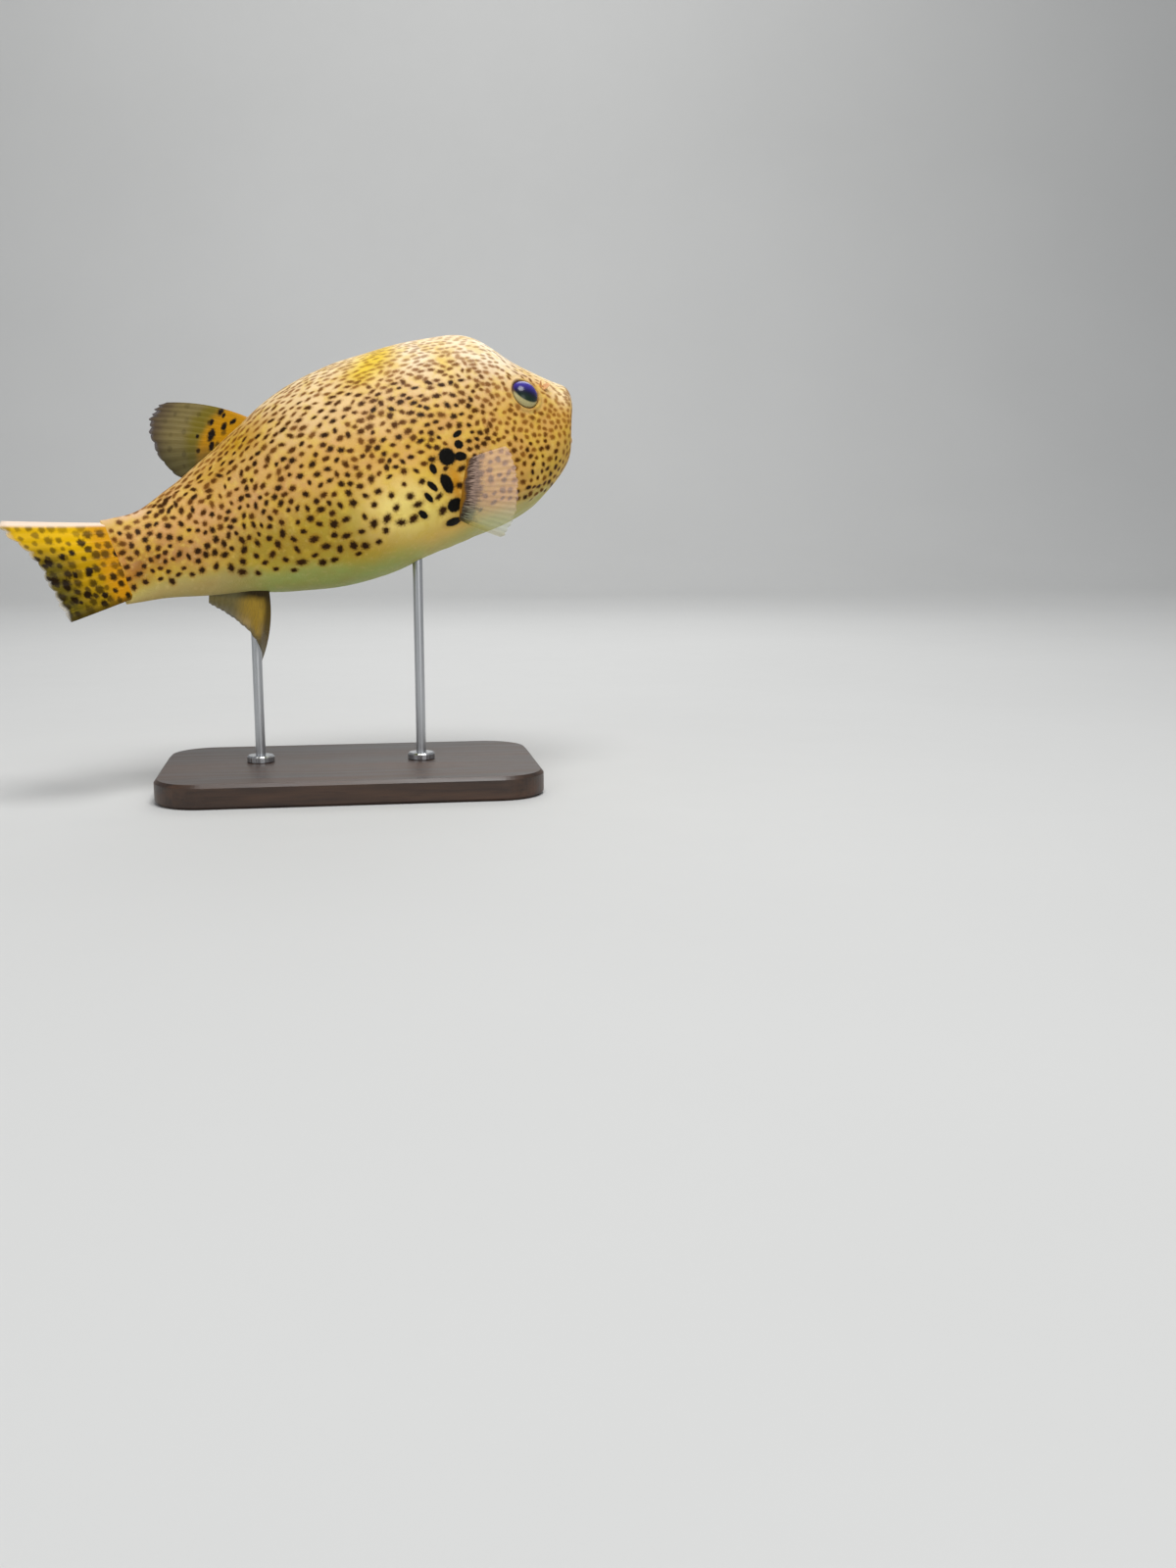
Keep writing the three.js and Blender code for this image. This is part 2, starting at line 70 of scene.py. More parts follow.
HEADINGS = [(-20, 18), (60, 15), (115, 3), (160, 1), (205, 18), (245, 31), (310, 36)]

EYE = dict(station=7.12, angle=19, radius=7.6, depth=5.8, proud=2.8, sunk=0.62)
NOSTRIL = dict(station=6.42, angle=37, height=3.4, width=2.1)
GILL = dict(station=9.12, angle=-24, length=15)
DORSAL = dict(rays=11, front=155, back=182, reach=46, sink=5)
ANAL = dict(rays=10, front=175, back=203, reach=37.5, sink=5)
CAUDAL = dict(rays=10, reach=50.5, root=237)
PECTORAL = dict(rays=16, top=(9.14, -15), bottom=(9.5, -57), reach=29, sink=3)
PECTORAL_LIFT = {"left": 38, "right": 0}


def through(points, t):
    """The smooth curve through evenly spaced points, at t from 0 to 1."""
    pts = np.asarray(points, float)
    pts = np.vstack([2 * pts[0] - pts[1], pts, 2 * pts[-1] - pts[-2]])
    t = np.clip(np.asarray(t, float), 0, 1) * (len(points) - 1)
    i = np.minimum(t.astype(int), len(points) - 2)
    w = (t - i)[..., None]
    p0, p1, p2, p3 = (pts[i + k] for k in range(4))
    t0, t1 = (p2 - p0) / 2, (p3 - p1) / 2
    c2, c3 = -3 * p1 + 3 * p2 - 2 * t0 - t1, 2 * p1 - 2 * p2 + t0 + t1
    return p1 + t0 * w + c2 * w**2 + c3 * w**3


TOPS = [(MID_BODY - s[0][0], s[0][1]) for s in STATIONS]
BOTTOMS = [(MID_BODY - s[1][0], s[1][1]) for s in STATIONS]
FORMS = [s[2:] for s in STATIONS]


def skin(station, degrees):
    """A point of the straight body's skin, as in the part's source."""
    station, degrees = np.broadcast_arrays(np.asarray(station, float), np.asarray(degrees, float))
    t = station / LAST
    top, bottom, form = through(TOPS, t), through(BOTTOMS, t), through(FORMS, t)
    power = 2 / form[..., 1]
    c, s = np.cos(np.radians(degrees)), np.sin(np.radians(degrees))
    across = np.sign(c) * np.abs(c) ** power
    up = np.sign(s) * np.abs(s) ** power
    level = up - form[..., 2] * (1 - up * up)
    line = bottom + (top - bottom) * ((1 + level) / 2)[..., None]
    return np.stack([line[..., 0] - form[..., 3] * across * across, form[..., 0] * across, line[..., 1]], -1)


def unit(v):
    return v / np.maximum(np.linalg.norm(v, axis=-1, keepdims=True), 1e-9)


def mix(a, b, t):
    return a + (b - a) * t


def smooth(low, high, x):
    """An ease from 0 at low to 1 at high, whichever of the two is the greater."""
    t = np.clip((np.asarray(x, float) - low) / (high - low), 0, 1)
    return t * t * (3 - 2 * t)


def skin_normal(station, degrees):
    back = skin(np.asarray(station) + 0.02, degrees) - skin(np.asarray(station) - 0.02, degrees)
    round_ = skin(station, np.asarray(degrees) + 0.5) - skin(station, np.asarray(degrees) - 0.5)
    return unit(np.cross(back, round_))


SAMPLES = np.linspace(4, LAST, 3000)


def midline_height(distance, degrees):
    """The height of the back's or belly's middle line, at distances behind the snout tip."""
    line = skin(SAMPLES, degrees)
    return np.interp(distance, MID_BODY - line[:, 0], line[:, 2])


# Pose: the straight fish bends along its spine, then noses up and banks
def heading_at(distance):
    d = np.asarray(distance, float)
    at, turn = (np.array(x, float) for x in zip(*HEADINGS))
    i = np.clip(np.searchsorted(at, d, side="right") - 1, 0, len(at) - 2)
    linear = np.clip((d - at[i]) / (at[i + 1] - at[i]), 0, 1)
    share = (linear + linear * linear * (3 - 2 * linear)) / 2
    return np.radians(turn[i] + (turn[i + 1] - turn[i]) * share)


SPINE_AT = np.arange(-40.0, 321.0, 1.0)
_turns = heading_at(SPINE_AT[:-1] + 0.5)
SPINE = np.vstack([[0, 0], np.cumsum(np.stack([-np.cos(_turns), -np.sin(_turns)], 1), 0)])
SPINE -= [np.interp(MID_BODY, SPINE_AT, SPINE[:, k]) for k in (0, 1)]


def pose(points):
    """Straight fish to the row's frame."""
    p = np.asarray(points, float)
    d = MID_BODY - p[..., 0]
    turn = heading_at(d)
    x = np.interp(d, SPINE_AT, SPINE[:, 0]) - np.sin(turn) * p[..., 1]
    y = np.interp(d, SPINE_AT, SPINE[:, 1]) + np.cos(turn) * p[..., 1]
    z = p[..., 2]
    cb, sb = math.cos(math.radians(-BANK)), math.sin(math.radians(-BANK))
    y, z = y * cb - z * sb, y * sb + z * cb
    cp, sp = math.cos(math.radians(PITCH)), math.sin(math.radians(PITCH))
    x, z = x * cp - z * sp, x * sp + z * cp
    return np.stack([x, y, z], -1) + FISH_PLACE


# Helpers for meshes and materials
def linear(rgb):
    out = [c / 255 for c in rgb]
    return tuple(c / 12.92 if c <= 0.04045 else ((c + 0.055) / 1.055) ** 2.4 for c in out)


def make_object(name, points_mm, faces):
    """A smooth mesh object from points and either a list of faces or an array of faces of one size."""
    mesh = bpy.data.meshes.new(name)
    pts = np.asarray(points_mm, float) * MM
    mesh.vertices.add(len(pts))
    mesh.vertices.foreach_set("co", pts.ravel())
    if isinstance(faces, list):
        sizes = np.array([len(f) for f in faces], np.int32)
        loops = np.concatenate([np.asarray(f) for f in faces]).astype(np.int32)
    else:
        sizes = np.full(len(faces), faces.shape[1], np.int32)
        loops = faces.ravel().astype(np.int32)
    mesh.loops.add(len(loops))
    mesh.loops.foreach_set("vertex_index", loops)
    mesh.polygons.add(len(sizes))
    mesh.polygons.foreach_set("loop_start", np.concatenate([[0], np.cumsum(sizes)[:-1]]).astype(np.int32))
    mesh.polygons.foreach_set("loop_total", sizes)
    mesh.update(calc_edges=True)
    mesh.validate()
    mesh.polygons.foreach_set("use_smooth", np.full(len(mesh.polygons), True))
    obj = bpy.data.objects.new(name, mesh)
    bpy.context.scene.collection.objects.link(obj)
    return obj


def set_attribute(obj, name, values):
    values = np.asarray(values, np.float32)
    kind = "FLOAT_COLOR" if values.ndim == 2 else "FLOAT"
    attribute = obj.data.attributes.new(name, kind, "POINT")
    if values.ndim == 2:
        full = np.ones((len(values), 4), np.float32)
        full[:, :3] = values
        attribute.data.foreach_set("color", full.ravel())
    else:
        attribute.data.foreach_set("value", values)


class Shader:
    """A material's nodes, with short ways to make the ones used here."""

    def __init__(self, name):
        self.material = bpy.data.materials.new(name)
        self.material.use_nodes = True
        self.tree = self.material.node_tree
        self.surface = self.tree.nodes["Principled BSDF"]

    def node(self, kind, **inputs):
        made = self.tree.nodes.new(kind)
        for key, value in inputs.items():
            self.put(made.inputs[key.replace("_", " ")], value)
        return made

    def put(self, socket, value):
        if isinstance(value, bpy.types.NodeSocket):
            self.tree.links.new(value, socket)
        elif isinstance(value, tuple) and len(value) == 3 and len(socket.default_value) == 4:
            socket.default_value = (*value, 1)
        else:
            socket.default_value = value

    def set(self, **inputs):
        for key, value in inputs.items():
            self.put(self.surface.inputs[key.replace("_", " ")], value)

    def attribute(self, name, output="Fac"):
        made = self.tree.nodes.new("ShaderNodeAttribute")
        made.attribute_name = name
        return made.outputs[output]

    def place(self):
        return self.node("ShaderNodeTexCoord").outputs["Object"]

    def noise(self, scale, detail=3.0, roughness=0.55, vector=None):
        made = self.node("ShaderNodeTexNoise", Scale=scale, Detail=detail, Roughness=roughness)
        self.tree.links.new(vector or self.place(), made.inputs["Vector"])
        return made.outputs["Fac"]

    def voronoi(self, scale):
        return self.node("ShaderNodeTexVoronoi", Vector=self.place(), Scale=scale).outputs["Distance"]

    def math(self, operation, a, b=0.0, clamp=False):
        made = self.tree.nodes.new("ShaderNodeMath")
        made.operation = operation
        made.use_clamp = clamp
        self.put(made.inputs[0], a)
        self.put(made.inputs[1], b)
        return made.outputs[0]

    def ramp(self, value, low, high, to_low=0.0, to_high=1.0):
        made = self.tree.nodes.new("ShaderNodeMapRange")
        made.interpolation_type = "SMOOTHSTEP"
        ends = (("From Min", low), ("From Max", high), ("To Min", to_low), ("To Max", to_high))
        for key, v in (("Value", value), *ends):
            self.put(made.inputs[key], v)
        return made.outputs[0]

    def varied(self, scale, low, high):
        """A value that wanders between two with a noise, as a roughness does."""
        return self.ramp(self.noise(scale), 0.3, 0.7, low, high)

    def mix(self, factor, a, b):
        made = self.tree.nodes.new("ShaderNodeMix")
        made.data_type = "RGBA"
        self.put(made.inputs[0], factor)
        self.put(made.inputs[6], a)
        self.put(made.inputs[7], b)
        return made.outputs[2]

    def bump(self, height, distance, strength=1.0, over=None):
        made = self.node("ShaderNodeBump", Height=height, Distance=distance, Strength=strength)
        if over is not None:
            self.tree.links.new(over, made.inputs["Normal"])
        return made.outputs["Normal"]


# Skin
SIDES = 460
RINGS = 430


def even_angles(count):
    """Angles that step evenly round the ring at the deepest part of the body."""
    fine = np.linspace(-90, 270, 7201)
    ring = skin(11.0, fine)
    run = np.concatenate([[0], np.cumsum(np.linalg.norm(np.diff(ring, axis=0), axis=1))])
    return np.interp(np.linspace(0, run[-1], count, endpoint=False), run, fine)


LEAST_STEP = 0.0012  # keeps rings coming where the skin's lines hardly move


def even_stations(count):
    """Stations that step evenly along the body's top, side and bottom lines."""
    fine = np.linspace(0, LAST, 6001)
    top, side, low = skin(fine, 90.0), skin(fine, 20.0), skin(fine, -90.0)
    step = sum(np.linalg.norm(np.diff(line, axis=0), axis=1) for line in (top, side, low)) / 3
    run = np.concatenate([[0], np.cumsum(step + LEAST_STEP)])
    return np.interp(np.linspace(0, run[-1], count), run, fine)


angles, stations = even_angles(SIDES), even_stations(RINGS)
STATION, ANGLE = np.meshgrid(stations, angles, indexing="ij")
straight = skin(STATION, ANGLE)
normals = skin_normal(np.clip(STATION, 0.03, LAST - 0.03), ANGLE)
distance = MID_BODY - straight[..., 0]
height = straight[..., 2]


def flank_angle(degrees, side):
    return degrees if side == "left" else 180 - degrees


def local_frame(station, angle):
    """A point of the skin with its outward, tailward and upward directions."""
    here, out = skin(station, angle), skin_normal(station, angle)
    back = skin(station + 0.1, angle) - skin(station - 0.1, angle)
    back = unit(back - out * np.dot(back, out))
    return here, out, back, np.cross(out, back)


FAR = 99.0  # beyond the reach of every mark
push = np.zeros_like(distance)
eye_near = np.full_like(distance, FAR)
gill_near = np.full_like(distance, FAR)
for side in ("left", "right"):
    here, out, back, up = local_frame(EYE["station"], flank_angle(EYE["angle"], side))
    offset = straight - here
    flat = np.hypot(offset @ back, offset @ up)
    same = (offset @ out) > -14
    flat = np.where(same, flat, FAR)
    eye_near = np.minimum(eye_near, flat)
    # A raised rim and a low fold round it, and a socket that takes the eyeball.
    from_edge = flat - EYE["radius"]
    rim = 1.5 * np.exp(-(((from_edge - 1.0) / 1.3) ** 2)) + 0.6 * np.exp(-(((from_edge - 4.8) / 2.4) ** 2))
    push += rim - 5.0 * np.clip((0.2 - from_edge) / 1.5, 0, 1) ** 1.5
    here, out, back, up = local_frame(GILL["station"], flank_angle(GILL["angle"], side))
    offset = straight - here
    along, tall = offset @ back, offset @ up
    same = (offset @ out) > -12
    # The slit, and a swollen lip before it.
    reach = np.sqrt(np.clip(1 - (tall / (GILL["length"] / 2)) ** 2, 0, 1))
    push += np.where(same, -2.2 * np.exp(-((along / 0.75) ** 2)) * reach, 0)
    lip_reach = np.sqrt(np.clip(1 - (tall / (GILL["length"] / 2 + 2.5)) ** 2, 0, 1))
    push += np.where(same, 1.2 * np.exp(-(((along + 2.4) / 1.5) ** 2)) * lip_reach, 0)
    to_slit = np.hypot(along, np.maximum(0, np.abs(tall) - (GILL["length"] / 2 - 1)))
    gill_near = np.minimum(gill_near, np.where(same, to_slit, FAR))


def waves(*terms):
    """A slow wavy field over the skin, from (length, direction in the side view, shift) terms."""
    total = 0
    for length, turn, shift in terms:
        a = math.radians(turn)
        run = distance * math.cos(a) + height * math.sin(a)
        total = total + np.sin(2 * math.pi * run / length + shift + straight[..., 1] * 0.05)
    return total / len(terms)


# Slack folds behind the pectoral fin and along the throat, and gentle unevenness elsewhere.
slack = np.exp(-(((distance - 78) / 20) ** 2)) * np.exp(-(((height + 22) / 16) ** 2))
push += 0.35 * slack * waves((9, 20, 0.4), (7, 75, 2.0))
push += 0.18 * waves((31, 15, 1.0), (23, 80, 0.2), (19, 130, 2.2)) * np.clip((distance - 12) / 30, 0, 1)
throat = np.clip((distance - 15) / 12, 0, 1) * np.clip((75 - distance) / 20, 0, 1)
throat *= np.clip((-height - 8) / 14, 0, 1)
push += 0.3 * throat * np.sin(ANGLE * 0.42)

shaped = straight + normals * push[..., None]
placed = pose(shaped)

# Quads between rings, a cap at the throat and one at the tail's edge.
index = np.arange(RINGS * SIDES).reshape(RINGS, SIDES)
nxt = np.roll(index, -1, axis=1)
quads = np.stack([index[:-1], index[1:], nxt[1:], nxt[:-1]], -1).reshape(-1, 4)
points = placed.reshape(-1, 3)
ends = [pose(shaped[0].mean(0)), pose(shaped[-1].mean(0))]
points = np.vstack([points, ends])
first_cap = [(int(index[0, i]), int(nxt[0, i]), RINGS * SIDES) for i in range(SIDES)]
last_cap = [(int(nxt[-1, i]), int(index[-1, i]), RINGS * SIDES + 1) for i in range(SIDES)]
faces = [tuple(q) for q in quads.tolist()] + first_cap + last_cap


def nostril_flap(side, apart):
    """One cupped leaf's points and faces: before the nostril where apart is -1, behind it where it is 1."""
    here, out, back, up = local_frame(NOSTRIL["station"], flank_angle(NOSTRIL["angle"], side))
    round_leaf = np.linspace(0, 2 * math.pi, 20, endpoint=False)
    rise, turn = np.meshgrid(np.linspace(-0.3, 1, 14), round_leaf, indexing="ij")
    above = np.clip(rise, 0, 1)
    wide = NOSTRIL["width"] * np.sqrt(np.clip(1 - above**2.6, 0.02, 1))
    thin = 0.55 * (1 - 0.5 * above)
    cupped = 0.12 * (wide * np.sin(turn)) ** 2
    x = apart * (1.2 + 1.35 * above) + thin * np.cos(turn) - apart * cupped
    y, z = wide * np.sin(turn), NOSTRIL["height"] * rise
    leaf = here + x[..., None] * back + y[..., None] * up + z[..., None] * out
    grid = np.arange(rise.size).reshape(rise.shape)
    after = np.roll(grid, -1, axis=1)
    walls = np.stack([grid[:-1], after[:-1], after[1:], grid[1:]], -1).reshape(-1, 4).tolist()
    caps = [tuple(grid[0, ::-1].tolist()), tuple(grid[-1].tolist())]
    return leaf.reshape(-1, 3), [tuple(f) for f in walls] + caps


flaps = []
for side in ("left", "right"):
    for apart in (-1, 1):
        leaf, leaf_faces = nostril_flap(side, apart)
        first = len(points) + sum(len(f) for f in flaps)
        faces += [tuple(first + i for i in f) for f in leaf_faces]
        flaps.append(pose(leaf))
FLAP_POINTS = sum(len(f) for f in flaps)
body = make_object("skin", np.vstack([points, *flaps]), faces)

# Spots: seeded darts over the skin, each an ellipse turned its own way; those of the back keep to rows
dice = random.Random(41)
ROWS = 116
DARTS = 110000
CELL = 4.0  # of the grid in which near spots are looked up
BARE_RINGS = 6  # inside the mouth
LIP_END = 3.9  # the station where the spotted skin starts
BARE_EYE = 9.6  # round the eye's middle
BARE_TAIL = 242
NO_SPOT = 9.0  # the distance given where no spot is near, in its half sizes
SPOT_STRENGTH = 1.12  # the most that a small spot has
BLOTCH_STRENGTH, BLOTCH_GROWTH = 1.4, 1.15


def spot_size(d, h, up):
    """A spot's radius and its room, by place: small on back and head, large and sparse low on the flank."""
    low = float(smooth(0, -24, h) * smooth(60, 85, d) * smooth(225, 195, d))
    back = float(smooth(0.15, 0.75, up))
    head = float(smooth(66, 34, d))
    pale = math.exp(-(((d - 101) / 13) ** 2) - (((h + 15) / 10) ** 2))
    front = float(smooth(125, 100, d) * smooth(-10, 5, h))
    snout = float(smooth(20, 6, d))
    back *= (1 - 0.6 * float(smooth(130, 175, d))) * (1 - float(smooth(200, 226, d)))
    radius = 1.6 + 0.42 * low - 0.44 * back - 0.22 * head - 0.25 * pale - 0.05 * front - 0.15 * snout
    spacing = 4.15 + 1.35 * low - 1.2 * back - 0.5 * head * (1 - back) + 0.8 * pale - 0.7 * front * (1 - back)
    return radius, spacing


def spot_limit(d):
    """The height under which the belly is bare, along the body."""
    return np.interp(d, [0, 15, 37, 56, 75, 92, 104, 123, 145, 165, 191, 212, 250],
                     [-8, -16, -25, -24, -27, -23.5, -26, -32, -31, -28.5, -21, -17, -17])


# Large black blotches round the pectoral base, and the streaks behind it: place in the side view, half
# sizes, turn.
BLOTCHES = [
    (79.6, -1.0, 3.4, 3.9, 10),
    (73.4, -2.4, 2.7, 2.0, 20),
    (72.7, 3.6, 1.8, 2.0, 0),
    (71.7, 8.8, 2.3, 1.2, -20),
    (82.4, -13.2, 2.3, 4.7, -6),
    (80.6, -23.1, 3.2, 3.3, 20),
    (82.2, -29.6, 3.5, 2.3, 5),
    (86.6, -5.1, 1.3, 2.4, 0),
    (88.6, -13.0, 1.2, 2.9, -24),
    (91.9, -17.6, 1.1, 2.8, -20),
    (95.6, -24.4, 1.4, 2.5, -25),
]


def blotch_near(d, h):
    """How near a place lies to a blotch, as a share of the room that small spots leave it."""
    return min(math.hypot(d - x, h - z) / (max(a, b) * 0.8 + 2.4) for x, z, a, b, _ in BLOTCHES)


flat_points = straight.reshape(-1, 3)
flat_normals = normals.reshape(-1, 3)
order = list(range(len(flat_points)))
dice.shuffle(order)
cells = {}
spots = []


def cell_of(q):
    return tuple(int(c // CELL) for c in q)


def has_room(q, spacing):
    """Whether every spot placed so far is at least the spacing away."""
    x, y, z = cell_of(q)
    reach = int(math.ceil(spacing / CELL))
    span = range(-reach, reach + 1)
    for cell in ((x + i, y + j, z + k) for i in span for j in span for k in span):
        for o in cells.get(cell, ()):
            if (q[0] - o[0]) ** 2 + (q[1] - o[1]) ** 2 + (q[2] - o[2]) ** 2 < spacing * spacing:
                return False
    return True


# Each dart moves part of the way to its row, further on the back, and is kept where it has room.
for n in order[:DARTS]:
    i, j = divmod(n, SIDES)
    row = round(j * ROWS / SIDES) * SIDES / ROWS
    to_row = 0.35 + 0.5 * float(smooth(0.0, 0.5, normals[i, j, 2]))
    n = i * SIDES + round(j + (row - j) * to_row) % SIDES
    p = flat_points[n]
    d = MID_BODY - p[0]
    if n < SIDES * BARE_RINGS or d > BARE_TAIL or p[2] < spot_limit(d) + dice.uniform(-2, 3):
        continue
    if STATION.flat[n] < LIP_END or eye_near.flat[n] < BARE_EYE or blotch_near(d, p[2]) < 1.0:
        continue
    up = flat_normals[n, 2]
    radius, spacing = spot_size(d, p[2], up)
    spacing *= dice.uniform(0.92, 1.12)
    raised = float(smooth(0.05, 0.6, up) * smooth(226, 200, d))
    along = 1.0 + 0.35 * raised
    spacing *= 1 - 0.12 * raised
    q = (p[0] / along, p[1], p[2])
    if not has_room(q, spacing):
        continue
    cells.setdefault(cell_of(q), []).append(q)
    stretch = dice.uniform(1.05, 1.6) + raised * dice.uniform(0.4, 1.3)
    turn = dice.gauss(0, 11) if dice.random() < 0.35 + 0.65 * raised else dice.uniform(-90, 90)
    spots.append((n, radius * dice.uniform(0.74, 1.18), stretch, turn, dice.uniform(0.7, 1.04)))

near = np.full(RINGS * SIDES, NO_SPOT, np.float32)
dark = np.zeros(RINGS * SIDES, np.float32)
ring_gap = np.linalg.norm(np.diff(straight[:, ::10], axis=0), axis=2).mean(1)
tailward = unit(np.gradient(straight, axis=0))
turned = unit(np.cross(normals, tailward))


def stamp(n, half_long, half_tall, turn, strength):
    """Puts an elliptical spot on the skin at its nth point, wherever no other spot is nearer."""
    i, j = divmod(n, SIDES)
    reach = 2.0 * max(half_long, half_tall)
    di = int(min(60, reach / max(0.2, ring_gap[min(i, RINGS - 2)]) + 1))
    side_gap = np.linalg.norm(straight[i, (j + 1) % SIDES] - straight[i, j - 1]) / 2
    dj = int(min(SIDES // 3, reach / max(0.12, side_gap) + 1))
    rows = np.arange(max(0, i - di), min(RINGS, i + di + 1))
    cols = np.arange(j - dj, j + dj + 1) % SIDES
    window = np.ix_(rows, cols)
    offset = straight[window] - straight[i, j]
    a = math.radians(turn)
    u, v = offset @ tailward[i, j], offset @ turned[i, j]
    w = offset @ normals[i, j]
    u, v = u * math.cos(a) + v * math.sin(a), -u * math.sin(a) + v * math.cos(a)
    r = np.sqrt((u / half_long) ** 2 + (v / half_tall) ** 2 + (w / max(half_long, half_tall)) ** 2)
    flat = (rows[:, None] * SIDES + cols[None, :]).ravel()
    r = r.ravel().astype(np.float32)
    closer = r < near[flat]
    near[flat[closer]] = r[closer]
    dark[flat[closer]] = strength


for n, radius, stretch, turn, strength in spots:
    i, j = divmod(n, SIDES)
    h = height[i, j]
    deep = float(smooth(12, -18, h))
    # Spots fade where the skin faces up, on the crown and on the head: partly painted highlight where light
    # falls from above, partly fainter marks there.
    pale = 0.42 * float(smooth(0.3, 0.85, normals[i, j, 2])) + 0.3 * float(smooth(66, 44, distance[i, j]))
    crown = float(smooth(34, 52, h) * smooth(125, 95, distance[i, j]))
    pale = min(0.8, pale + 0.25 * float(smooth(24, 8, distance[i, j])) + 0.4 * crown)
    side = 1 if straight[i, j, 1] > 0 else -1
    s = math.sqrt(stretch)
    strength = min(SPOT_STRENGTH, strength * (0.98 + 0.3 * deep - pale))
    stamp(n, radius * s, radius / s, turn * side, strength)
for side in (1, -1):
    for d, h, half_long, half_tall, turn in BLOTCHES:
        off = (distance - d) ** 2 + (height - h) ** 2 + np.where(straight[..., 1] * side > 0, 0, 1e6)
        sizes = (half_long * BLOTCH_GROWTH, half_tall * BLOTCH_GROWTH)
        stamp(int(off.argmin()), *sizes, turn * side, BLOTCH_STRENGTH)

# Ground colour, from smooth fields over the side view
MOUTH_INSIDE = (112, 62, 50)
flank = np.array(linear((218, 172, 92)))
ground = np.broadcast_to(flank, (RINGS, SIDES, 3)).copy()


def wash(colour, share):
    """Lays a colour over the ground, by its share at each point."""
    global ground
    share = np.clip(share, 0, 1)[..., None]
    ground = ground * (1 - share) + np.array(linear(colour)) * share


def blob(d, h, long_, tall):
    """A soft round patch of the side view, 1 in its middle."""
    return np.exp(-(((distance - d) / long_) ** 2) - (((height - h) / tall) ** 2))


wobble = waves((37, 35, 0.3), (26, 110, 1.4))
patchy = waves((17, 20, 1.1), (14, 95, 0.2), (21, 150, 2.0))
over_belly = height - np.interp(distance, [0, 15, 45, 70, 93, 123, 145, 165, 191, 212, 250],
                                [-14, -19, -28, -33, -38, -37, -34, -30, -24, -20.5, -21])
belly_edge = over_belly + 2.0 * wobble
# Pale pinkish back, cream forehead and saddles: partly the skin's own paler colour, partly painted highlight
# where light from above falls on the back and forehead
wash((236, 202, 148), smooth(10, 38, height + 4 * wobble) * smooth(5, 30, distance) * 0.85)
wash((246, 224, 180), smooth(44, 60, height + 3 * patchy) * 0.85)
wash((255, 242, 214), blob(36, 50, 24, 15) * 0.95 + blob(76, 57, 12, 13) * 0.75)
# Rear flank pinkish tan; the lower peduncle browner, partly its own colour and partly painted shade under the
# body's bulge
wash((212, 160, 104), smooth(125, 180, distance + 8 * wobble) * smooth(34, 5, height) * 0.7)
# Browner lower peduncle: partly painted shade under the bulge of the body.
wash((140, 92, 34), smooth(190, 232, distance) * smooth(8, -6, height) * 0.85)
wash((226, 186, 104), smooth(200, 222, distance) * smooth(6, 14, height) * 0.7)
wash((232, 196, 170), smooth(216, 228, distance) * smooth(14, 19, height) * 0.7)
wash((200, 134, 40), smooth(235, 244, distance) * smooth(14, 8, height) * 0.75)
# Pink and yellow patches between the spots
wash((214, 162, 118), smooth(0.1, 0.8, patchy) * smooth(-18, 0, height) * smooth(45, 25, height) * 0.34)
wash((214, 176, 64), smooth(0.0, 0.8, -patchy) * smooth(-30, -10, height) * smooth(30, 5, height) * 0.45)
# Yellow bands over the back, before the dorsal fin and behind the pectoral fin
wash((238, 206, 66), blob(87, 65, 7, 6) * 0.75 + blob(94, 58, 9, 7) * 0.95 + blob(103, 50, 8, 7) * 0.85)
wash((250, 224, 176), blob(132, 51, 12, 9) * 0.7)
wash((238, 204, 90), blob(65.5, 46, 4.5, 12) * 0.6)
wash((190, 142, 14), blob(168, 38, 19, 12) * 0.95 + blob(188, 26, 14, 8) * 0.6)
wash((214, 170, 30), blob(88, -10, 9, 15) * 0.75)
wash((172, 150, 34), smooth(6, -16, height) * smooth(112, 128, distance) * smooth(206, 180, distance) * 0.8)
wash((255, 232, 140), blob(103, -19, 18, 12) * 0.98)
wash((255, 232, 124), blob(93, -24, 17, 9) * 0.9)
# Head: orange tan cheek, cream snout that is partly painted highlight, olive chin
wash((214, 166, 80), smooth(60, 40, distance) * smooth(34, 18, height) * 0.6)
# The snout's cream is partly painted highlight where the light falls on its front.
wash((255, 232, 184), smooth(24, 4, distance) * smooth(10, 22, height) * 0.9)
wash((214, 180, 78), smooth(46, 24, distance) * smooth(2, -16, height) * 0.75)
wash((206, 140, 8), blob(78.3, -14, 3.2, 10) * 0.95)
# Belly: greenish grey at its edge, which is painted shade over the belly's own paler colour, and paler under
# it
wash((196, 176, 66), smooth(11, 1, belly_edge) * smooth(84, 120, distance) * 0.75)
# The greenish grey at the belly's edge is painted shade.
wash((166, 184, 104), smooth(5, -3, belly_edge) * 0.92)
wash((190, 166, 108), smooth(6, -2, belly_edge) * smooth(165, 205, distance) * 0.85)
wash((188, 182, 126), smooth(5, -3, belly_edge) * smooth(82, 58, distance) * 0.75)
wash((196, 208, 172), smooth(-4, -13, over_belly + 1.5 * patchy) * 0.85)
# Lips, mouth, the rims of the eyes, and the gill slits
wash((226, 190, 156), smooth(LIP_END, 3.0, STATION) * 0.7)
# A brown band at the lip root on each side: painted shade behind the lips.
wash((150, 104, 62), np.exp(-(((STATION - 3.5) / 0.5) ** 2)) * smooth(4, 9, np.abs(straight[..., 1])) * 0.8)
wash(MOUTH_INSIDE, smooth(1.9, 1.2, STATION))
wash((138, 104, 66), np.exp(-(((eye_near - EYE["radius"] + 0.2) / 1.3) ** 2)) * 0.85)
wash((216, 182, 116), np.exp(-(((eye_near - EYE["radius"] - 2.6) / 1.2) ** 2)) * 0.5)
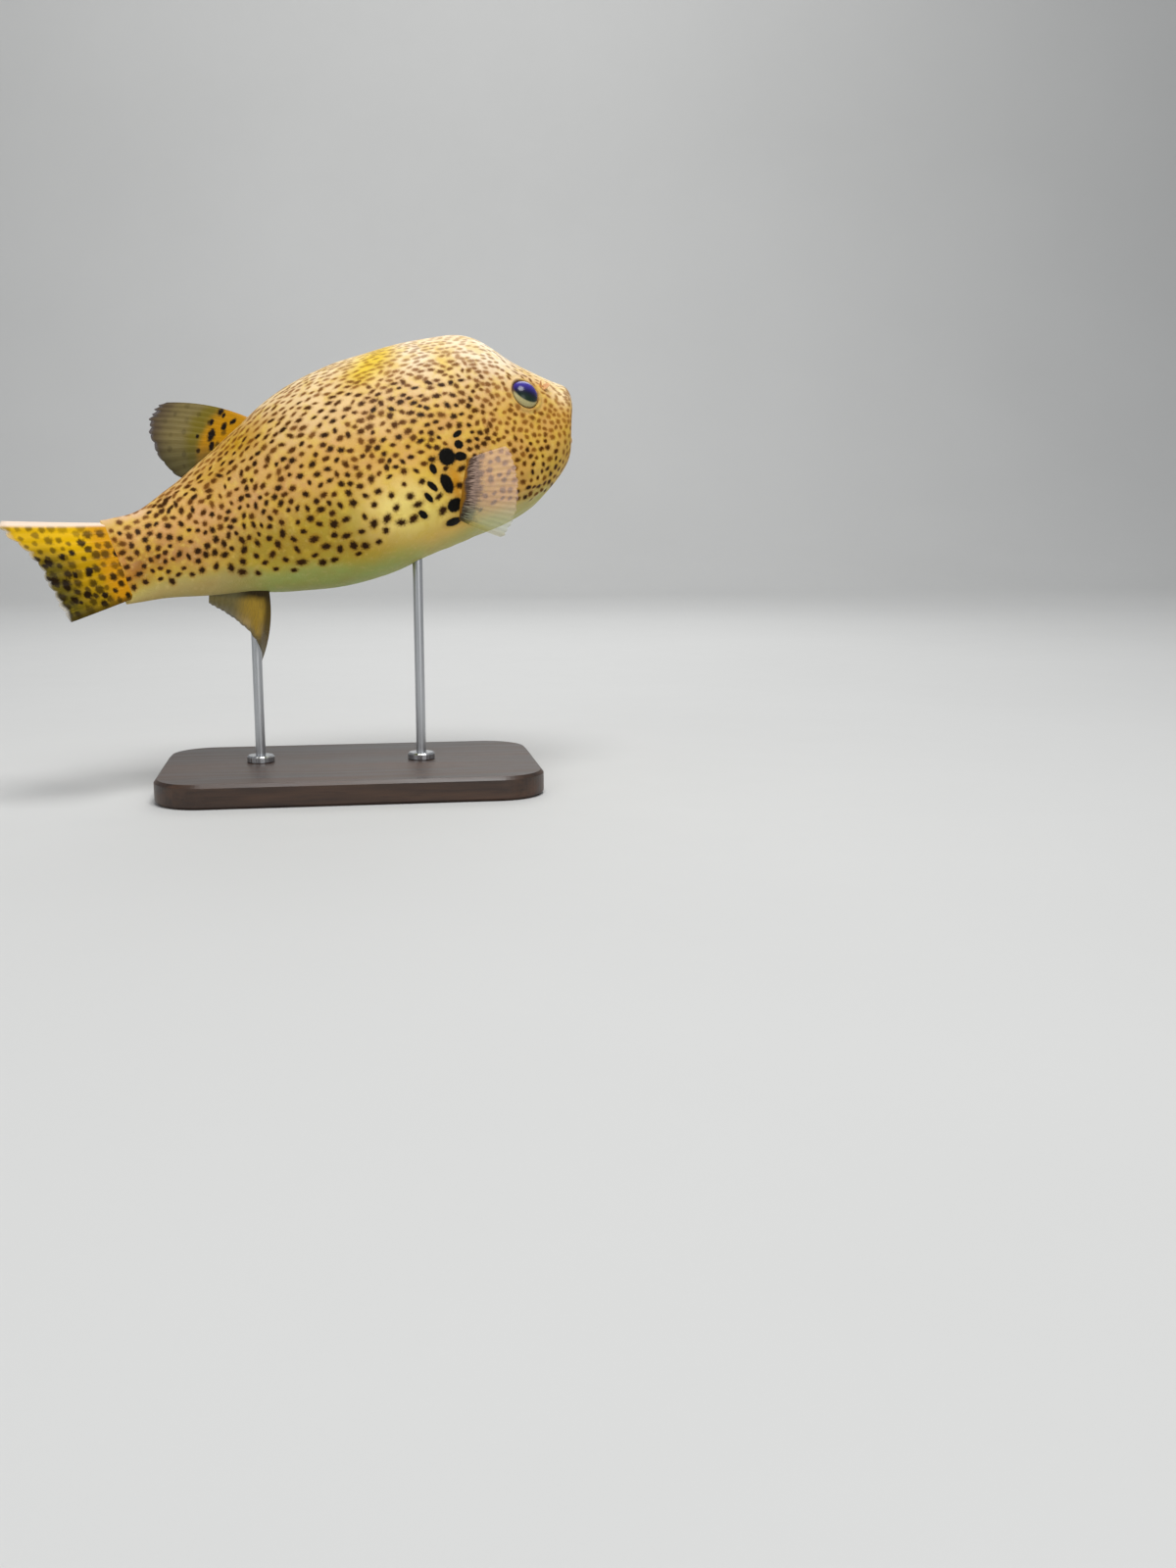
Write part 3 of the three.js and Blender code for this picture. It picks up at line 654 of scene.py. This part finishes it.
# Dark in the gill slits: painted shade in the openings.
wash((60, 40, 26), np.exp(-((gill_near / 1.1) ** 2)) * 0.8)


def for_all_points(values, throat, tail_edge, flap):
    """A ring grid's values, with those of the two end points and of the nostril flaps after them."""
    values = np.asarray(values, np.float32).reshape(RINGS * SIDES, -1)
    extra = [np.atleast_1d(throat), np.atleast_1d(tail_edge)] + [np.atleast_1d(flap)] * FLAP_POINTS
    full = np.concatenate([values, np.asarray(extra, np.float32)])
    return full[:, 0] if full.shape[1] == 1 else full


added_colours = (linear(c) for c in (MOUTH_INSIDE, (160, 112, 60), (236, 184, 138)))
set_attribute(body, "ground", for_all_points(ground, *added_colours))
set_attribute(body, "spot", for_all_points(near, NO_SPOT, NO_SPOT, NO_SPOT))
set_attribute(body, "dark", for_all_points(dark, 0, 0, 0))
set_attribute(body, "flank", for_all_points(smooth(-3, 9, over_belly), 0, 1, 1))


def spotted(shader, ground_colour):
    """The ground colour under the skin's marks: spots with a ragged rim, and crisp black blotches."""
    strength = shader.attribute("dark")
    blotch = shader.ramp(strength, 1.15, 1.35)  # from the strongest spot to a blotch
    ragged = shader.math("SUBTRACT", shader.noise(900.0, 5.0, 0.7), 0.5)
    ragged = shader.math("MULTIPLY", ragged, shader.ramp(blotch, 0.0, 1.0, 1.5, 0.5))
    r = shader.math("ADD", shader.attribute("spot"), ragged)
    rim_start = shader.ramp(blotch, 0.0, 1.0, 0.5, 0.85)
    rim_end = shader.ramp(blotch, 0.0, 1.0, 1.3, 1.12)
    inside = shader.ramp(r, rim_start, rim_end, 1.0, 0.0)
    halo = shader.ramp(r, 0.8, 1.9, 0.42, 0.0)
    core = shader.mix(shader.ramp(strength, 0.45, 1.0), linear((128, 72, 4)), linear((46, 24, 0)))
    core = shader.mix(blotch, core, linear((9, 7, 4)))
    tinted = shader.mix(halo, ground_colour, linear((160, 98, 14)))
    share = shader.math("MULTIPLY", inside, shader.math("ADD", strength, 0.2, clamp=True))
    return shader.mix(share, tinted, core)


def skin_material():
    s = Shader("puffer_skin")
    base = s.attribute("ground", "Color")
    flank_share = s.attribute("flank")
    mottled = s.mix(s.ramp(s.noise(60.0, 5.0), 0.35, 0.7, 0.0, 0.22), base, linear((184, 132, 48)))
    yellow = s.math("MULTIPLY", s.ramp(s.noise(170.0, 3.0), 0.47, 0.66, 0.0, 0.4), flank_share)
    mottled = s.mix(yellow, mottled, linear((220, 184, 54)))
    mottled = s.mix(s.ramp(s.noise(340.0, 3.0), 0.5, 0.72, 0.0, 0.13), mottled, linear((245, 222, 160)))
    colour = spotted(s, mottled)
    prickles = s.voronoi(1150.0)
    pits = s.noise(2600.0, 2.0)
    s.set(Base_Color=colour, Roughness=s.varied(420.0, 0.42, 0.56))
    s.set(Specular_IOR_Level=0.1, Subsurface_Weight=0.04, Subsurface_Radius=(0.004, 0.002, 0.001))
    first = s.bump(s.ramp(prickles, 0.0, 0.55, 1.0, 0.0), 0.00016, 0.55)
    second = s.bump(pits, 0.00006, 0.4, over=first)
    s.set(Normal=second)
    return s.material


body.data.materials.append(skin_material())
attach(body, "root")
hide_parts("head", "trunk", "tail")


# Fins
def direction(elevation, yaw):
    """A direction tailwards, raised by the elevation and turned to the left by the yaw."""
    e, y = np.radians(elevation), np.radians(yaw)
    return np.stack([-np.cos(e) * np.cos(y), np.cos(e) * np.sin(y), np.sin(e)], -1)


def on_ray(root, first, last, length, out):
    """A place on a ray that leaves its root in one direction and bends evenly to another."""
    turn = (last - first) * ((out * out) / 2)[..., None]
    return root + (first * out[..., None] + turn) * np.asarray(length)[..., None]


def dorsal_place(across, out):
    d = mix(DORSAL["front"], DORSAL["back"], across)
    root = np.stack([MID_BODY - d, 0 * d, midline_height(d, 90.0) - DORSAL["sink"]], -1)
    elevation = mix(30, 24, across) - 34 * across**4
    length = DORSAL["reach"] * (1 - 0.72 * across**2.2) + DORSAL["sink"]
    curve = 14 * (1 - across)
    first, last = direction(elevation + curve, 4 + 0 * d), direction(elevation - curve, 22 + 0 * d)
    return on_ray(root, first, last, length, out)


def anal_place(across, out):
    d = mix(ANAL["front"], ANAL["back"], across)
    root = np.stack([MID_BODY - d, 0 * d, midline_height(d, -90.0) + ANAL["sink"]], -1)
    elevation, yaw = mix(-72, -44, across), 70 * across**0.7
    length = ANAL["reach"] * (1 - 0.82 * across**0.42) + ANAL["sink"]
    return on_ray(root, direction(elevation - 12, yaw), direction(elevation + 21, yaw + 20), length, out)


def caudal_place(across, out):
    root = np.stack([MID_BODY - CAUDAL["root"] + 0 * across, 0 * across, mix(16.5, -20.5, across)], -1)
    elevation = mix(9, -12, across)
    shorter = 0.22 * smooth(0, 0.45, across)
    length = CAUDAL["reach"] * (1 - shorter) + (TAIL_EDGE - CAUDAL["root"])
    yaw = -12 * across
    return on_ray(root, direction(elevation, yaw), direction(elevation, yaw - 10 * across), length, out)


def pectoral_place(side):
    sign = 1 if side == "left" else -1

    def place(across, out):
        station, angle = (mix(a, b, across) for a, b in zip(PECTORAL["top"], PECTORAL["bottom"]))
        angle = flank_angle(angle, side)
        root = skin(station, angle) - skin_normal(station, angle) * PECTORAL["sink"]
        e = np.radians(mix(-5, -40, across) + PECTORAL_LIFT[side])

        def ray(spread):
            a = math.radians(spread)
            return np.stack([np.cos(e) * math.cos(a), sign * np.cos(e) * math.sin(a), np.sin(e)], -1)

        length = PECTORAL["reach"] * (0.5 + 0.5 * np.sin(math.pi * mix(0.1, 0.78, across)) ** 0.6)
        return on_ray(root, ray(68), ray(30), length + PECTORAL["sink"], out)

    return place


FIN_DARTS = 4000
MARK_STRENGTH = 1.1


def fin(name, node, rays, place, sink, root_lobe, material,
        notch=0.02, raised=0.4, spots=None, marks=()):
    """A thin blade with branching rays as ridges, a scalloped margin and a fleshy lobe at the root."""
    lobe_thick, lobe_reach = root_lobe
    per_ray, rows = ((14, 90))
    cols = rays * per_ray + 1
    u, v = np.meshgrid(np.linspace(0, 1, cols), np.linspace(0, 1, rows), indexing="ij")
    ray_phase = u * rays
    middle_off = np.abs((ray_phase % 1) - 0.5)  # 0 on a ray's crest, 0.5 between rays
    wander = 0.5 + 0.3 * np.sin(ray_phase * 2.7 + 1.3) + 0.2 * np.sin(ray_phase * 6.1)
    length = 1 - notch * ((middle_off * 2) ** 2 + wander) * smooth(0.3, 1.0, v)
    mid = place(u, v * length)
    hidden = sink / np.linalg.norm(place(u, 1 + 0 * v) - place(u, 0 * v), axis=-1)
    free = (v - hidden) / (1 - hidden)
    e = 0.004
    side_a, side_b = place(np.minimum(u + e, 1), v * length), place(np.maximum(u - e, 0), v * length)
    out_a, out_b = place(u, v * length + e), place(u, v * length - e)
    normal = unit(np.cross(side_a - side_b, out_a - out_b))
    fork = 0.17 * smooth(0.35, 0.75, v)
    ridge = np.maximum(*(np.exp(-(((middle_off + shift) / 0.085) ** 2)) for shift in (-fork, fork)))
    joints = 0.9 + 0.1 * np.cos(v * 150)
    membrane = 0.55 * (1 - 0.25 * v)
    span = np.sqrt(np.clip(1 - (2 * u - 1) ** 2, 0, 1))
    lobe = lobe_thick * span * np.exp(-((v / lobe_reach) ** 2))
    thick = membrane + lobe + ridge * raised * (1 - 0.8 * v) * joints * smooth(0.02, 0.2, v)
    rim = np.minimum(np.minimum(u, 1 - u) * rays * 2.5, 1)
    thick = thick * np.sqrt(np.clip(rim, 0.12, 1)) * np.sqrt(np.clip((1 - v) * 14, 0.25, 1))
    ripple = 0.22 * np.sin(ray_phase * math.pi * 2) * v * (1 - lobe / (lobe_thick + 0.01))
    mid = mid + normal * ripple[..., None]
    top = mid + normal * thick[..., None] / 2
    low = mid - normal * thick[..., None] / 2
    pts = np.concatenate([top.reshape(-1, 3), low.reshape(-1, 3)])
    idx = np.arange(cols * rows).reshape(cols, rows)
    under = idx + cols * rows
    up_quads = np.stack([idx[:-1, :-1], idx[1:, :-1], idx[1:, 1:], idx[:-1, 1:]], -1).reshape(-1, 4)
    low_quads = np.stack([under[:-1, :-1], under[:-1, 1:], under[1:, 1:], under[1:, :-1]], -1).reshape(-1, 4)
    border = np.concatenate([idx[:, 0], idx[-1, 1:], idx[-2::-1, -1], idx[0, -2:0:-1]])
    after = np.roll(border, -1)
    wall = np.stack([border, border + cols * rows, after + cols * rows, after], -1)
    obj = make_object(name, pose(pts), np.concatenate([up_quads, low_quads, wall]))
    flat = mid.reshape(-1, 3)
    outwards = unit(out_a - out_b).reshape(-1, 3)
    spot = np.full(cols * rows, NO_SPOT)
    depth = np.ones(cols * rows)

    def offsets(n):
        """How far every point lies from the nth, along the ray there and across it."""
        offset = flat - flat[n]
        along = offset @ outwards[n]
        return along, np.linalg.norm(offset - along[:, None] * outwards[n], axis=1)

    if spots:
        own = random.Random(spots["seed"])
        picks = []
        for _ in range(FIN_DARTS):
            n = own.randrange(cols * rows)
            p, at, up = flat[n], v.flat[n], u.flat[n]
            gap = spots["gap"] * own.uniform(0.9, 1.15)
            if not 0.05 < up < 0.97 or at > spots["reach"]:
                continue
            if any(np.sum((p - q) ** 2) < gap * gap for q in picks):
                continue
            picks.append(p)
            radius = mix(spots["upper"], spots["lower"], up) * own.uniform(0.6, 1.35)
            along, side_off = offsets(n)
            away = np.hypot(along / spots["stretch"], side_off) / radius
            depth = np.where(away < spot, own.uniform(0.6, 1.05), depth)
            spot = np.minimum(spot, away)
    for at_u, at_free, half_wide, half_long in marks:
        n = int(((u - at_u) ** 2 + (free - at_free) ** 2).argmin())
        along, side_off = offsets(n)
        away = np.hypot(along / half_long, side_off / half_wide)
        depth = np.where(away < spot, MARK_STRENGTH, depth)
        spot = np.minimum(spot, away)
    for field, values in dict(across=u, outward=free, ridge=ridge, spot=spot, dark=depth).items():
        set_attribute(obj, field, np.tile(values.ravel(), 2))
    obj.data.materials.append(material)
    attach(obj, "root")
    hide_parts(node)


class FinShader(Shader):
    """A fin's material: bands from root to margin, streaks along the rays, spots, and how clear it is."""

    def __init__(self, name):
        super().__init__(name)
        wander = self.math("MULTIPLY", self.math("SUBTRACT", self.noise(130.0, 4.0), 0.5), 0.2)
        self.out = self.math("ADD", self.attribute("outward"), wander)
        self.over = self.attribute("across")
        self.ridge = self.attribute("ridge")
        over_far, out_far = self.math("MULTIPLY", self.over, 90.0), self.math("MULTIPLY", self.out, 5.0)
        stretched = self.node("ShaderNodeCombineXYZ", X=over_far, Y=out_far)
        self.streak = self.noise(1.0, 3.0, 0.6, vector=stretched.outputs[0])

    def band(self, colour, shade, along, low, high, share=1.0):
        return self.mix(self.ramp(along, low, high, 0.0, share), colour, linear(shade))

    def bands(self, colour, *layers):
        for layer in layers:
            colour = self.band(colour, *layer)
        return colour

    def spots(self, colour, shade, share):
        ragged = self.math("MULTIPLY", self.math("SUBTRACT", self.noise(700.0, 5.0, 0.7), 0.5), 1.5)
        inside = self.ramp(self.math("ADD", self.attribute("spot"), ragged), 0.5, 1.35, 1.0, 0.0)
        inside = self.math("MULTIPLY", self.math("MULTIPLY", inside, self.attribute("dark")), share)
        return self.mix(inside, colour, linear(shade))

    def finish(self, colour, alpha):
        self.set(Base_Color=colour, Alpha=alpha, Roughness=self.varied(500.0, 0.35, 0.5))
        self.set(Specular_IOR_Level=0.1, Normal=self.bump(self.noise(1800.0, 2.0), 0.00005, 0.4))
        return self.material


def dorsal_material():
    """Orange yellow root with black marks, olive brown membrane, darker violet grey towards the margin."""
    s = FinShader("dorsal_fin_skin")
    colour = s.bands(
        linear((180, 126, 4)),
        ((112, 98, 28), s.out, 0.22, 0.38),
        ((120, 106, 66), s.out, 0.42, 0.6, 0.9),
        ((84, 70, 52), s.out, 0.66, 0.98),
        ((70, 66, 38), s.over, 0.5, 0.9, 0.75),
        ((64, 52, 34), s.streak, 0.5, 0.75, 0.3),
        ((86, 78, 84), s.out, 0.95, 1.02, 0.7),
    )
    colour = s.spots(colour, (22, 11, 2), s.ramp(s.out, 0.36, 0.5, 1.0, 0.3))
    return s.finish(colour, s.ramp(s.out, 0.9, 1.08, 1.0, 0.5))


def anal_material():
    """Dark root, which is painted shadow of the belly above, and dark leading edge, a yellow brown band
    inside it, and a greyer, thinner rear.
    """
    s = FinShader("anal_fin_skin")
    colour = s.bands(
        # the dark root colour: painted shadow of the belly
        linear((50, 38, 14)),
        ((180, 146, 54), s.out, 0.04, 0.3),
        ((116, 110, 76), s.over, 0.26, 0.6, 0.85),
        ((84, 76, 50), s.streak, 0.45, 0.7, 0.4),
        ((58, 46, 20), s.over, 0.12, 0.03, 0.85),
        ((92, 84, 56), s.out, 0.85, 1.0, 0.7),
    )
    return s.finish(colour, s.ramp(s.out, 0.3, 1.0, 1.0, 0.7))


def caudal_material():
    """Bright yellow above, olive brown below and outwards, the darkening below partly painted shade, pale
    upper edge, ragged glassy margin.
    """
    s = FinShader("caudal_fin_skin")
    colour = s.bands(
        linear((226, 178, 0)),
        # Darker towards the lower edge: partly the fin's own colour, partly painted shade.
        ((176, 136, 0), s.over, 0.2, 0.5),
        ((132, 108, 14), s.over, 0.6, 0.95, 0.75),
        ((208, 140, 14), s.out, 0.34, 0.06, 0.75),
        ((78, 72, 20), s.out, 0.4, 0.85, s.ramp(s.over, 0.15, 0.5, 0.15, 0.9)),
        ((236, 196, 30), s.streak, 0.54, 0.75, 0.22),
    )
    colour = s.spots(colour, (30, 17, 0), s.ramp(s.over, 0.02, 0.36, 0.62, 1.0))
    # A dark lower edge, partly painted shade.
    colour = s.band(colour, (58, 46, 10), s.over, 0.92, 0.985, 0.7)
    colour = s.band(colour, (246, 226, 208), s.over, 0.075, 0.03, 0.92)
    colour = s.band(colour, (226, 220, 208), s.out, 0.95, 1.03, 0.75)
    return s.finish(colour, s.ramp(s.out, 0.9, 1.08, 1.0, 0.35))


def pectoral_material():
    """Brown root, dark streaks past it, then a clear pinkish membrane, grey green and yellow below."""
    s = FinShader("pectoral_fin_skin")
    colour = s.bands(
        linear((238, 204, 182)),
        ((206, 210, 170), s.over, 0.55, 0.85),
        ((190, 176, 60), s.over, 0.88, 0.98, 0.8),
    )
    reach = s.math("SUBTRACT", s.out, s.math("MULTIPLY", s.streak, 0.9))
    dark = s.ramp(reach, -0.08, -0.38)
    colour = s.mix(s.math("MULTIPLY", dark, 0.95), colour, linear((52, 36, 30)))
    colour = s.band(colour, (146, 100, 22), s.out, 0.06, 0.0)
    clear = s.ramp(s.out, 0.05, 0.3, 0.9, 0.24)
    clear = s.math("ADD", clear, s.math("MULTIPLY", s.ridge, 0.07), clamp=True)
    clear = s.math("ADD", clear, s.math("MULTIPLY", dark, 0.55), clamp=True)
    return s.finish(colour, clear)


# Places of the dorsal root's black marks: share across, share out, half width and half length.
DORSAL_MARKS = [
    (0.3, 0.13, 2.8, 1.4),
    (0.48, 0.2, 3.9, 2.0),
    (0.16, 0.09, 1.9, 1.1),
    (0.66, 0.1, 3.0, 1.4),
    (0.27, 0.3, 2.0, 1.1),
    (0.12, 0.24, 1.5, 0.9),
]
# The darkest marks of the tail's lower and outer part, in the same shares and sizes.
CAUDAL_MARKS = [
    (0.42, 0.87, 2.4, 2.6),
    (0.61, 0.9, 2.9, 3.0),
    (0.64, 0.76, 2.3, 2.7),
    (0.57, 0.57, 2.1, 2.4),
    (0.56, 0.36, 2.0, 2.2),
    (0.8, 0.52, 2.3, 2.5),
    (0.86, 0.3, 1.9, 2.0),
    (0.82, 0.74, 2.2, 2.3),
    (0.38, 0.62, 2.0, 2.3),
]
DORSAL_SPOTS = dict(seed=5, gap=6.5, upper=1.7, lower=1.7, stretch=0.7, reach=0.85)
CAUDAL_SPOTS = dict(seed=8, gap=4.4, upper=1.9, lower=2.0, stretch=1.0, reach=0.97)

fin("dorsal_fin", "fin_dorsal", DORSAL["rays"], dorsal_place, DORSAL["sink"], (7, 0.2),
    dorsal_material(), notch=0.03, marks=DORSAL_MARKS, spots=DORSAL_SPOTS)
fin("anal_fin", "fin_anal", ANAL["rays"], anal_place, ANAL["sink"], (7, 0.2), anal_material())
fin("caudal_fin", "fin_caudal", CAUDAL["rays"], caudal_place, TAIL_EDGE - CAUDAL["root"],
    (4.0, 0.3), caudal_material(), notch=0.035, raised=0.3, marks=CAUDAL_MARKS, spots=CAUDAL_SPOTS)
clear_fin_skin = pectoral_material()
for side in ("left", "right"):
    fin(f"pectoral_fin_{side}", f"fin_pectoral_{side}", PECTORAL["rays"], pectoral_place(side),
        PECTORAL["sink"], (6, 0.24), clear_fin_skin, notch=0.03, raised=0.25)


# Eyes
def eye_material():
    """A wide dark pupil with a painted sheen, blue above and green below, over an iris that is brown above
    and pale below.
    """
    s = Shader("puffer_eye")
    lift = s.attribute("lift")
    r = s.attribute("radial")
    # The pupil's green below and blue above are a painted sheen of reflected light over the dark pupil.
    pupil = s.mix(s.ramp(lift, -0.65, -0.1), linear((26, 46, 32)), linear((18, 16, 38)))
    pupil = s.mix(s.ramp(lift, -0.35, 0.5), pupil, linear((56, 42, 146)))
    pale = s.mix(s.noise(1500.0, 3.0), linear((164, 158, 104)), linear((206, 194, 140)))
    iris = s.mix(s.ramp(lift, -0.45, -0.1), pale, linear((112, 84, 66)))
    colour = s.mix(s.ramp(s.attribute("pupil"), 0.93, 1.05), pupil, iris)
    colour = s.mix(s.ramp(r, 0.94, 1.0), colour, linear((92, 70, 46)))
    s.set(Base_Color=colour, Roughness=s.varied(300.0, 0.2, 0.26))
    s.set(Specular_IOR_Level=0.3, Coat_Weight=0.15, Coat_Roughness=0.06)
    return s.material


PUPIL = dict(long=0.95, tall=0.84, lift=0.09)
eye_skin = eye_material()
for side in ("left", "right"):
    here, out, back, up = local_frame(EYE["station"], flank_angle(EYE["angle"], side))
    centre = here + out * (EYE["proud"] - EYE["depth"] * EYE["sunk"])
    round_eye = np.linspace(0, 2 * math.pi, 72, endpoint=False)
    turns, lifts = np.meshgrid(round_eye, np.linspace(0, math.pi, 49)[1:-1], indexing="ij")
    local = np.stack([np.sin(lifts) * np.cos(turns), np.sin(lifts) * np.sin(turns), np.cos(lifts)], -1)
    sideways = EYE["radius"] * (local[..., :1] * back + local[..., 1:2] * up)
    pts = centre + sideways + EYE["depth"] * local[..., 2:] * out
    poles = [centre + EYE["depth"] * out, centre - EYE["depth"] * out]
    grid = np.arange(local.shape[0] * local.shape[1]).reshape(local.shape[:2])
    follow = np.roll(grid, -1, axis=0)
    walls = np.stack([grid[:, :-1], grid[:, 1:], follow[:, 1:], follow[:, :-1]], -1).reshape(-1, 4).tolist()
    count = grid.size
    caps = [(int(grid[i, 0]), int(follow[i, 0]), count) for i in range(grid.shape[0])]
    caps += [(int(follow[i, -1]), int(grid[i, -1]), count + 1) for i in range(grid.shape[0])]
    ball = pose(np.vstack([pts.reshape(-1, 3), poles]))
    eye = make_object(f"eyeball_{side}", ball, [tuple(f) for f in walls] + caps)
    behind = np.where(local[..., 2].ravel() > 0, 1, 2)  # keeps the pupil off the hidden half
    raised = np.sign(up[2]) * local[..., 1].ravel()
    set_attribute(eye, "radial", np.concatenate([np.hypot(local[..., 0].ravel(), raised) * behind, [0, 2]]))
    across_pupil = np.hypot(local[..., 0].ravel() / PUPIL["long"], (raised - PUPIL["lift"]) / PUPIL["tall"])
    set_attribute(eye, "pupil", np.concatenate([across_pupil * behind, [0, 2]]))
    set_attribute(eye, "lift", np.concatenate([raised, [0, 0]]))
    eye.data.materials.append(eye_skin)
    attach(eye, "root")
    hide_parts(f"eye_{side}")


# Teeth and stand keep their solids
def tooth_material():
    s = Shader("beak_ivory")
    colour = s.mix(s.noise(800.0, 4.0), linear((236, 228, 205)), linear((206, 190, 150)))
    s.set(Base_Color=colour, Roughness=s.varied(500.0, 0.22, 0.4))
    s.set(Normal=s.bump(s.noise(2500.0), 0.00003, 0.5))
    return s.material


def wood_material():
    s = Shader("dark_stained_wood")
    stretch = s.node("ShaderNodeMapping", Vector=s.place(), Scale=(4.0, 60.0, 60.0))
    grain = s.noise(2.2, 8.0, 0.6, vector=stretch.outputs[0])
    fine = s.noise(14.0, 4.0, 0.6, vector=stretch.outputs[0])
    colour = s.mix(s.ramp(grain, 0.3, 0.7), linear((44, 30, 22)), linear((78, 54, 38)))
    colour = s.mix(s.ramp(fine, 0.5, 0.75, 0.0, 0.5), colour, linear((28, 19, 14)))
    s.set(Base_Color=colour, Roughness=s.ramp(grain, 0.3, 0.7, 0.32, 0.46), Normal=s.bump(fine, 0.00008, 0.4))
    return s.material


def steel_material():
    s = Shader("brushed_steel")
    stretch = s.node("ShaderNodeMapping", Vector=s.place(), Scale=(900.0, 900.0, 12.0))
    lines = s.noise(1.0, 3.0, vector=stretch.outputs[0])
    colour = s.mix(lines, linear((170, 172, 175)), linear((206, 208, 210)))
    s.set(Base_Color=colour, Roughness=s.ramp(lines, 0.3, 0.7, 0.24, 0.4), Metallic=1.0)
    s.set(Normal=s.bump(lines, 0.00002, 0.4))
    return s.material


def dress(material, *nodes):
    for name in nodes:
        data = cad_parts[name].data
        data.materials.clear()
        data.materials.append(material)


dress(tooth_material(), "tooth_upper", "tooth_lower")
dress(wood_material(), "stand_base")
dress(steel_material(), "stand_rod_front", "stand_rod_rear")


# Stage, lights and camera
def stage_sweep():
    """A floor that bends up into a wall behind the model, in metres until its mesh is made."""
    half, near_edge, far, turn, high = 3.0, -2.2, 1.6, 0.9, 3.6
    bend = [(far + turn * math.sin(a), turn * (1 - math.cos(a))) for a in np.linspace(0, math.pi / 2, 24)]
    profile = [(near_edge, 0.0), *bend, (far + turn, high)]
    pts = [(x * 1000, y * 1000, z * 1000) for y, z in profile for x in (-half, half)]
    quads = [(2 * i, 2 * i + 1, 2 * i + 3, 2 * i + 2) for i in range(len(profile) - 1)]
    sweep = make_object("stage_sweep", pts, quads)
    s = Shader("pale_floor")
    colour = s.mix(s.noise(3.0, 2.0), linear((206, 206, 204)), linear((212, 212, 210)))
    s.set(Base_Color=colour, Roughness=s.varied(30.0, 0.75, 0.85))
    sweep.data.materials.append(s.material)


stage_sweep()


def area_light(name, place, target, size, watts, colour=(1, 1, 1)):
    data = bpy.data.lights.new(name, "AREA")
    data.shape = "DISK"
    data.size = size
    data.energy = watts
    data.color = colour
    light = bpy.data.objects.new(name, data)
    bpy.context.scene.collection.objects.link(light)
    light.location = place
    light.rotation_euler = (Vector(target) - Vector(place)).to_track_quat("-Z", "Y").to_euler()


MIDDLE = (0.0, 0.0, 0.16)
area_light("key", (0.15, -0.45, 1.3), MIDDLE, 0.7, 12)
area_light("fill", (-0.9, -0.9, 0.6), MIDDLE, 1.0, 2.4, (0.96, 0.98, 1.0))
area_light("front", (0.4, -1.3, 0.4), MIDDLE, 0.8, 2.2)
area_light("back", (0.2, 0.9, 0.9), MIDDLE, 0.8, 3)
area_light("backdrop", (0.3, 0.9, 1.8), (0.4, 2.5, 0.7), 1.0, 16)
world = bpy.data.worlds.new("pale_room")
world.use_nodes = True
world.node_tree.nodes["Background"].inputs[0].default_value = (0.92, 0.95, 1.0, 1)
world.node_tree.nodes["Background"].inputs[1].default_value = 0.32
bpy.context.scene.world = world
bpy.context.scene.view_settings.view_transform = "Standard"

# The camera stands level with the fish, and its axis turns right and down, which puts the fish up left.
CAMERA_BACK = 790.0
AXIS_RIGHT, AXIS_DOWN = 9.19, 10.45
camera_data = bpy.data.cameras.new("camera")
camera_data.lens = 35
camera_data.sensor_width = 36
camera_data.clip_start = 0.01
camera = bpy.data.objects.new("camera", camera_data)
bpy.context.scene.collection.objects.link(camera)
camera.location = (FISH_PLACE[0] * MM, (FISH_PLACE[1] - CAMERA_BACK) * MM, FISH_PLACE[2] * MM)
camera.rotation_euler = (math.radians(90 - AXIS_DOWN), 0, math.radians(-AXIS_RIGHT))
bpy.context.scene.camera = camera
